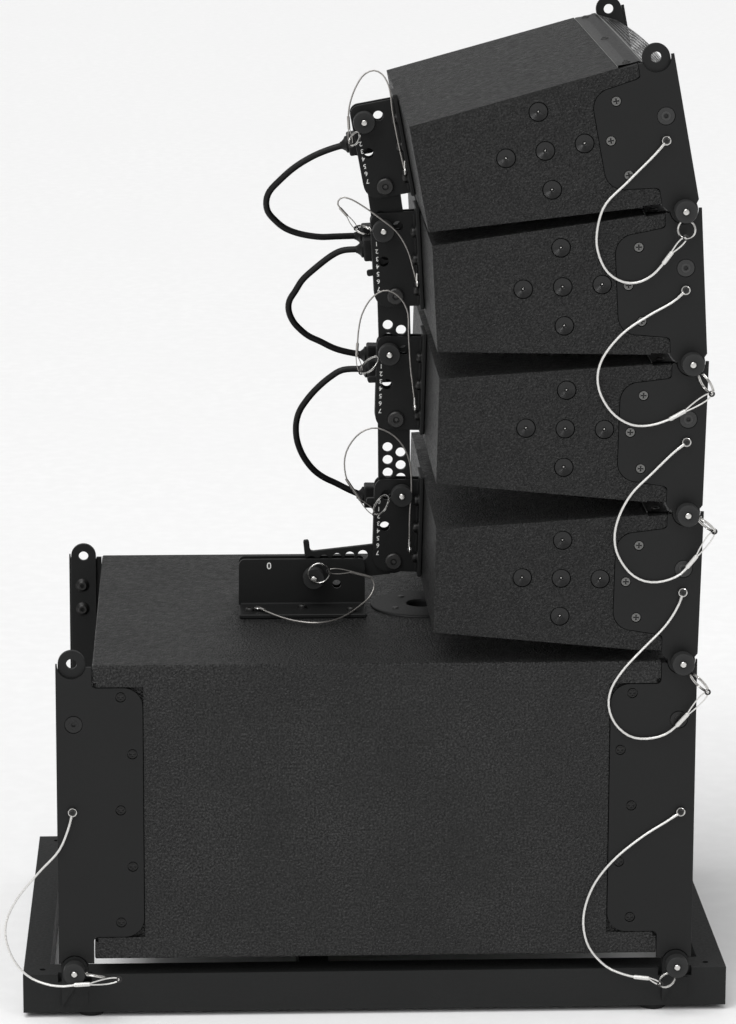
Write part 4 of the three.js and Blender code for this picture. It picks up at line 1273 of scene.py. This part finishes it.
bar_outline = [(19.2, -6)] + arc(-0.8, 0, 20, -16, 196, 28)
bar_outline += [(-23.8, -8), (-23.8, -106), (-25.0, -109), (-27.8, -110), (-37.4, -110), (-39.4, -111),
                (-40, -112.6), (-40, -115.6), (-39.4, -117.2), (-37.4, -118), (14.5, -118),
                (17.8, -116.8), (19.2, -113.5)]
bar_holes = [hole(*bar_hole(row, k)) for row, count in (("rear", 5), ("front", 4))
             for k in range(count)]
bar = flat(bar_outline, bar_holes, -4, 4, 0.5)
axle = lathe([(0, -13), (6.2, -13), (6.2, 13), (0, 13)], 28)
near_head = joined(lathe([(4.2, -16.2), (4.6, -18.4), (9.6, -18.4), (11, -17.2), (11, -12.4),
                          (6, -12.4)], 40),
                   flat(circle(4.6, sides=24), [circle(2.9, sides=6)], -17.6, -15.4, 0.2),
                   lathe([(0, -15.6), (5, -15.6), (5, -14.8), (0, -14.8)], 20))
bar_mesh = make_mesh("hole_bar", (bar, SATIN))
pivot_mesh = make_mesh("pivot_bolt", (joined(axle, both_sides(near_head)), BLACK_STEEL))
panel = block(-323.6, -321.2, 34.5, 104, 84, 146, 1.0, 3)
bezel = lathe([(14.2, -1.6), (18.4, -1.6), (18.4, -0.6), (17.4, 0.4), (14.2, 0.4)], 40, "X")
bezels = joined(*[shifted(bezel, -324.6, y, z) for y, z in (SOCKET_OUT, SOCKET_IN)])
panel_screw = lathe([(0, 0.4), (3.4, 0.4), (3.0, -1.6), (1.2, -2.2), (0, -2.2)], 20, "X")
panel_screws = joined(*[shifted(panel_screw, -324, y, z) for y in (40, 98) for z in (90, 141)])
panel_mesh = make_mesh("connector_panel", (joined(panel, bezels), SATIN), (panel_screws, GREY_SCREW))
socket_face = lathe([(11.5, 0.8), (11.5, -0.2), (9.5, -1.2), (0, -1.2)], 32, "X")
socket_faces = joined(*[shifted(socket_face, -324.4, y, z) for y, z in (SOCKET_OUT, SOCKET_IN)])
socket_mesh = make_mesh("socket_faces", (socket_faces, DARK_PLASTIC_AND_SHADE))
for n in ELEMENTS:
    for label, mesh, body, matrix, stands_for in (
            ("bracket", bracket_mesh, f"element_{n}", ELEMENT[n], [f"element_{n}_rear_bracket"]),
            ("bracket_bolts", bracket_bolt_mesh, f"element_{n}", ELEMENT[n], ()),
            ("degree_scale", numbers_mesh, f"element_{n}", ELEMENT[n], ()),
            ("connector_panel", panel_mesh, f"element_{n}", ELEMENT[n], ()),
            ("socket_faces", socket_mesh, f"element_{n}", ELEMENT[n], ()),
            ("hole_bar", bar_mesh, f"link_{n}", BAR[n], [f"element_{n}_link_bar"]),
            ("pivot_bolt", pivot_mesh, f"link_{n}", BAR[n], ())):
        piece(f"element_{n}_{label}", mesh, body, matrix, stands_for)

# --- Subwoofer ----------------------------------------------------------------------------------

SUB_TOP, SUB_BOTTOM, SUB_REAR, SUB_FRONT = 475.0, 81.0, -365.0, 385.0
SUB_SCREWS = [(329, 433), (314.5, 357), (330, 282), (315, 206), (330.5, 130.5)]
SUB_BOLT = (389.5, 397)
CUP_X = 72.0


def sub_plate():
    """The front plate of the near side; the other three are its mirror images."""
    edge = PIN_X + FRONT_EDGE
    outline = [(edge, 75), (edge, SUB_PIN_Z + 1)]
    outline += arc(PIN_X, SUB_PIN_Z, POCKET_R, 3, -169.8, 24)
    outline += [(366.1, SUB_PIN_Z - 3.3), (366.1, 450), (364.8, 447), (361.5, 445)]
    outline += arc(326, 420, 25, 90, 180) + arc(326, 136, 25, 180, 270)
    outline += [(361.5, 111), (364.8, 109), (366.1, 106), (366.1, 75)]
    outline += arc(PIN_X, BASE_PIN_Z, 18, 157, 23, 20)
    bores = [hole(x, z, SCREW_HOLE) for x, z in SUB_SCREWS] + [hole(*SUB_BOLT, BOLT_HOLE)]
    outer = flat(outline, bores, PLATE_FACE, PLATE_INNER, SHEET_EDGE)
    lug_outline = arc(PIN_X, SUB_PIN_Z, LUG_R, 0, 180, 28) + arc(PIN_X, BASE_PIN_Z, LUG_R, 180, 360, 28)
    lug = flat(lug_outline, [hole(PIN_X, SUB_PIN_Z), hole(PIN_X, BASE_PIN_Z)], *LUG_FACES, 0.4)
    return joined(outer, lug)


def front_to_rear(part):
    """The part at the other end of the stack."""
    return [Vector((-p[0], p[1], p[2])) for p in part[0]], [tuple(reversed(f)) for f in part[1]]


plate = sub_plate()
hardware = plate_hardware(SUB_SCREWS, SUB_BOLT)
lug_bolt = lathe([(0, 3.4), (3.0, 3.4), (3.0, 5.2), (5.4, 5.2), (6.6, 3.8), (9.6, 1.0), (9.9, 0)], 28)
lug_bolts = joined(*[shifted(lug_bolt, 393.5, LUG_FACES[1], z) for z in (433.5, 399)])
for side_name, sign in SIDES:
    for end_name in ("front", "rear"):
        parts = [plate, *hardware, lug_bolts]
        if sign < 0:
            parts = [mirrored(p) for p in parts]
        if end_name == "rear":
            parts = [front_to_rear(p) for p in parts]
        label = f"{end_name}_{side_name}"
        piece(f"sub_plate_{label}", make_mesh("sub_plate", (parts[0], SATIN)), "base_sub",
              stands_for=[f"sub_{end_name}_plate_{side_name}"])
        # The wells take the near-black as painted shade round the screws and bolt; the bolt's disc takes
        # it too.
        fixings = make_mesh("sub_fixings", *zip(parts[1:], (BLACK_STEEL, DARK_PLASTIC_AND_SHADE, DARK_PLASTIC_AND_SHADE, BLACK_STEEL)))
        piece(f"sub_plate_fixings_{label}", fixings, "base_sub")


def on_sub_outline(v):
    """Whether a point is on the subwoofer's outer edges, away from its front and its pole socket."""
    x, y, z = v.co
    return (abs(z - SUB_TOP) < 0.4 or abs(z - SUB_BOTTOM) < 0.4 or x < SUB_REAR + 0.5) and not (
        (x - CUP_X) ** 2 + y ** 2 < 30 ** 2)


sub_shell = cad_part("sub_cabinet", Matrix(), lambda e: all(on_sub_outline(v) for v in e.verts),
                     3.5, 0.6)
piece("sub_shell", make_mesh("sub_shell", (sub_shell, COATING)), "base_sub",
      stands_for=["sub_cabinet"])

# How far the grille stands forward, and how far it is below the subwoofer's top or above its bottom
SUB_FOLD = [(0.8, 2.4), (13, 6.5), (17, 10), (18, 15)]
sub_profile = [(SUB_FRONT + x, SUB_TOP - z) for x, z in SUB_FOLD]
sub_profile += [(SUB_FRONT + x, SUB_BOTTOM + z) for x, z in SUB_FOLD[::-1]]
sub_bow = (GRILLE_HALF, SUB_FRONT + 0.6, 6)
sub_grille_parts = [perforated(sub_profile[1:-1], *sub_bow, pitch=6.4, radius=2.3)]
for y0, y1 in END_STRIPS:
    sub_grille_parts.append(strip(sub_profile, y0, y1, *sub_bow, thick=1.3, pieces=2))
for rim in (sub_profile[:3], sub_profile[-3:]):
    sub_grille_parts.append(strip(rim, -GRILLE_HALF, GRILLE_HALF, *sub_bow, thick=1.3, pieces=16))
piece("sub_front_grille", make_mesh("sub_grille", (joined(*sub_grille_parts), GRILLE)), "base_sub",
      stands_for=["sub_grille"])

ring, surround, cone = cone_parts(130)
for side_name, sign in SIDES:
    spot = Vector((SUB_FRONT + 8.2, -sign * 136, (SUB_TOP + SUB_BOTTOM) / 2))
    driver_mesh = make_mesh("sub_driver", (ring, BLACK_STEEL), (surround, SURROUND), (cone, CONE))
    piece(f"sub_driver_{side_name}", driver_mesh, "base_sub",
          Matrix.Translation(spot * MM), [f"sub_woofer_{side_name}"])

# Pole socket: flange, throat and four screws
cup = lathe([(0, 405), (17.6, 405), (17.6, 475.6), (19.4, 477.4), (20.4, 478), (65.5, 478),
             (67.4, 477.2),
             (68, 475.8), (68, 475.3), (23.6, 475.3), (23.6, 399), (0, 399)], 72, "Z")
cup_screw = lathe([(0, 1.0), (1.4, 1.0), (3.8, 0.7), (4.6, 0.0), (4.6, -0.6)], 24, "Z")
cup_screws = joined(*[shifted(cup_screw, 43 * math.cos(a), 43 * math.sin(a), 478.2)
                      for a in (math.radians(d) for d in (35, 125, 215, 305))])
piece("pole_socket", make_mesh("pole_socket", (cup, SATIN), (cup_screws, BLACK_STEEL)),
      "base_sub",
      Matrix.Translation((CUP_X * MM, 0, 0)), ["sub_pole_cup"])

# Top bracket: a foot and two cheeks that take the lowest hole bar
foot = block(-174, -4, -68, 68, 475.3, 481, 1.5, 3)
cheek_outline = [(-4, 480)] + arc(-12, 535, 8, 0, 90, 8) + arc(-166, 535, 8, 90, 180, 8) + [(-174, 480)]
cheeks = cheek_pair(cheek_outline, [hole(*SUB_BRACKET_HOLE), hole(-42, 508, 6.0)])
fillets = joined(*[block(-172, -6, s * 9.5 - 4, s * 9.5 + 4, 479, 483.2, 1.8) for s in (-1, 1)])
foot_bolt = lathe([(0, 3.6), (2.4, 3.6), (2.4, 5.0), (3.8, 5.0), (5.6, 3.6), (6.2, 0.9), (8.4, 0.8),
                   (8.4, -0.4)], 28, "Z")
bolts = joined(*[shifted(foot_bolt, x, side * y, 481)
                 for side in (-1, 1) for x, y in ((-160, 49), (-89, 34), (-24, 49))])
piece("top_bracket",
      make_mesh("top_bracket", (joined(foot, cheeks, fillets), SATIN), (bolts, BLACK_STEEL)),
      "base_sub", stands_for=["sub_top_bracket"])
piece("top_bracket_zero", make_mesh("zero", (digit("0", 13, -133.4, 533.6, False), PAINT_WHITE)),
      "base_sub")

# --- Base frame ---------------------------------------------------------------------------------

# The CAD's feet end here; the rubber feet are pieces of their own
CAD_FOOT_TOP = 6.9
rail_hole = lathe([(0, -6), (4, -6), (4, 6), (0, 6)], 20, "Z")
rail_holes = joined(*[shifted(rail_hole, x, y, 58.7) for x in (-434, 434) for y in (-270, 270)])
base = cad_part("base_frame", Matrix(),
                lambda e: all(abs(v.co.y) < 290.5 for v in e.verts) and e.calc_length() > 60,
                2.2, 0.9, cutters=rail_holes, keep=lambda centre: centre.z > CAD_FOOT_TOP)
piece("base_rails", make_mesh("base_rails", (base, FRAME_PAINT)), "base_sub",
      stands_for=["base_frame"])
foot = lathe([(0, 0), (15.5, 0), (17.5, 1.4), (19.5, 6.4), (19.5, 7.3), (0, 7.3)], 36, "Z")
for x, end_name in ((365, "front"), (-371, "rear")):
    for side_name, sign in SIDES:
        piece(f"rubber_foot_{end_name}_{side_name}", make_mesh("rubber_foot", (foot, FOOT_RUBBER)),
              "base_sub", Matrix.Translation((x * MM, -sign * 270 * MM, 0)))

# --- Floor --------------------------------------------------------------------------------------

bm = bmesh.new()
bmesh.ops.create_grid(bm, x_segments=8, y_segments=8, size=40)
floor_mesh = bpy.data.meshes.new("floor")
bm.to_mesh(floor_mesh)
bm.free()
floor_mesh.materials.append(FLOOR)
floor = linked("floor", floor_mesh)
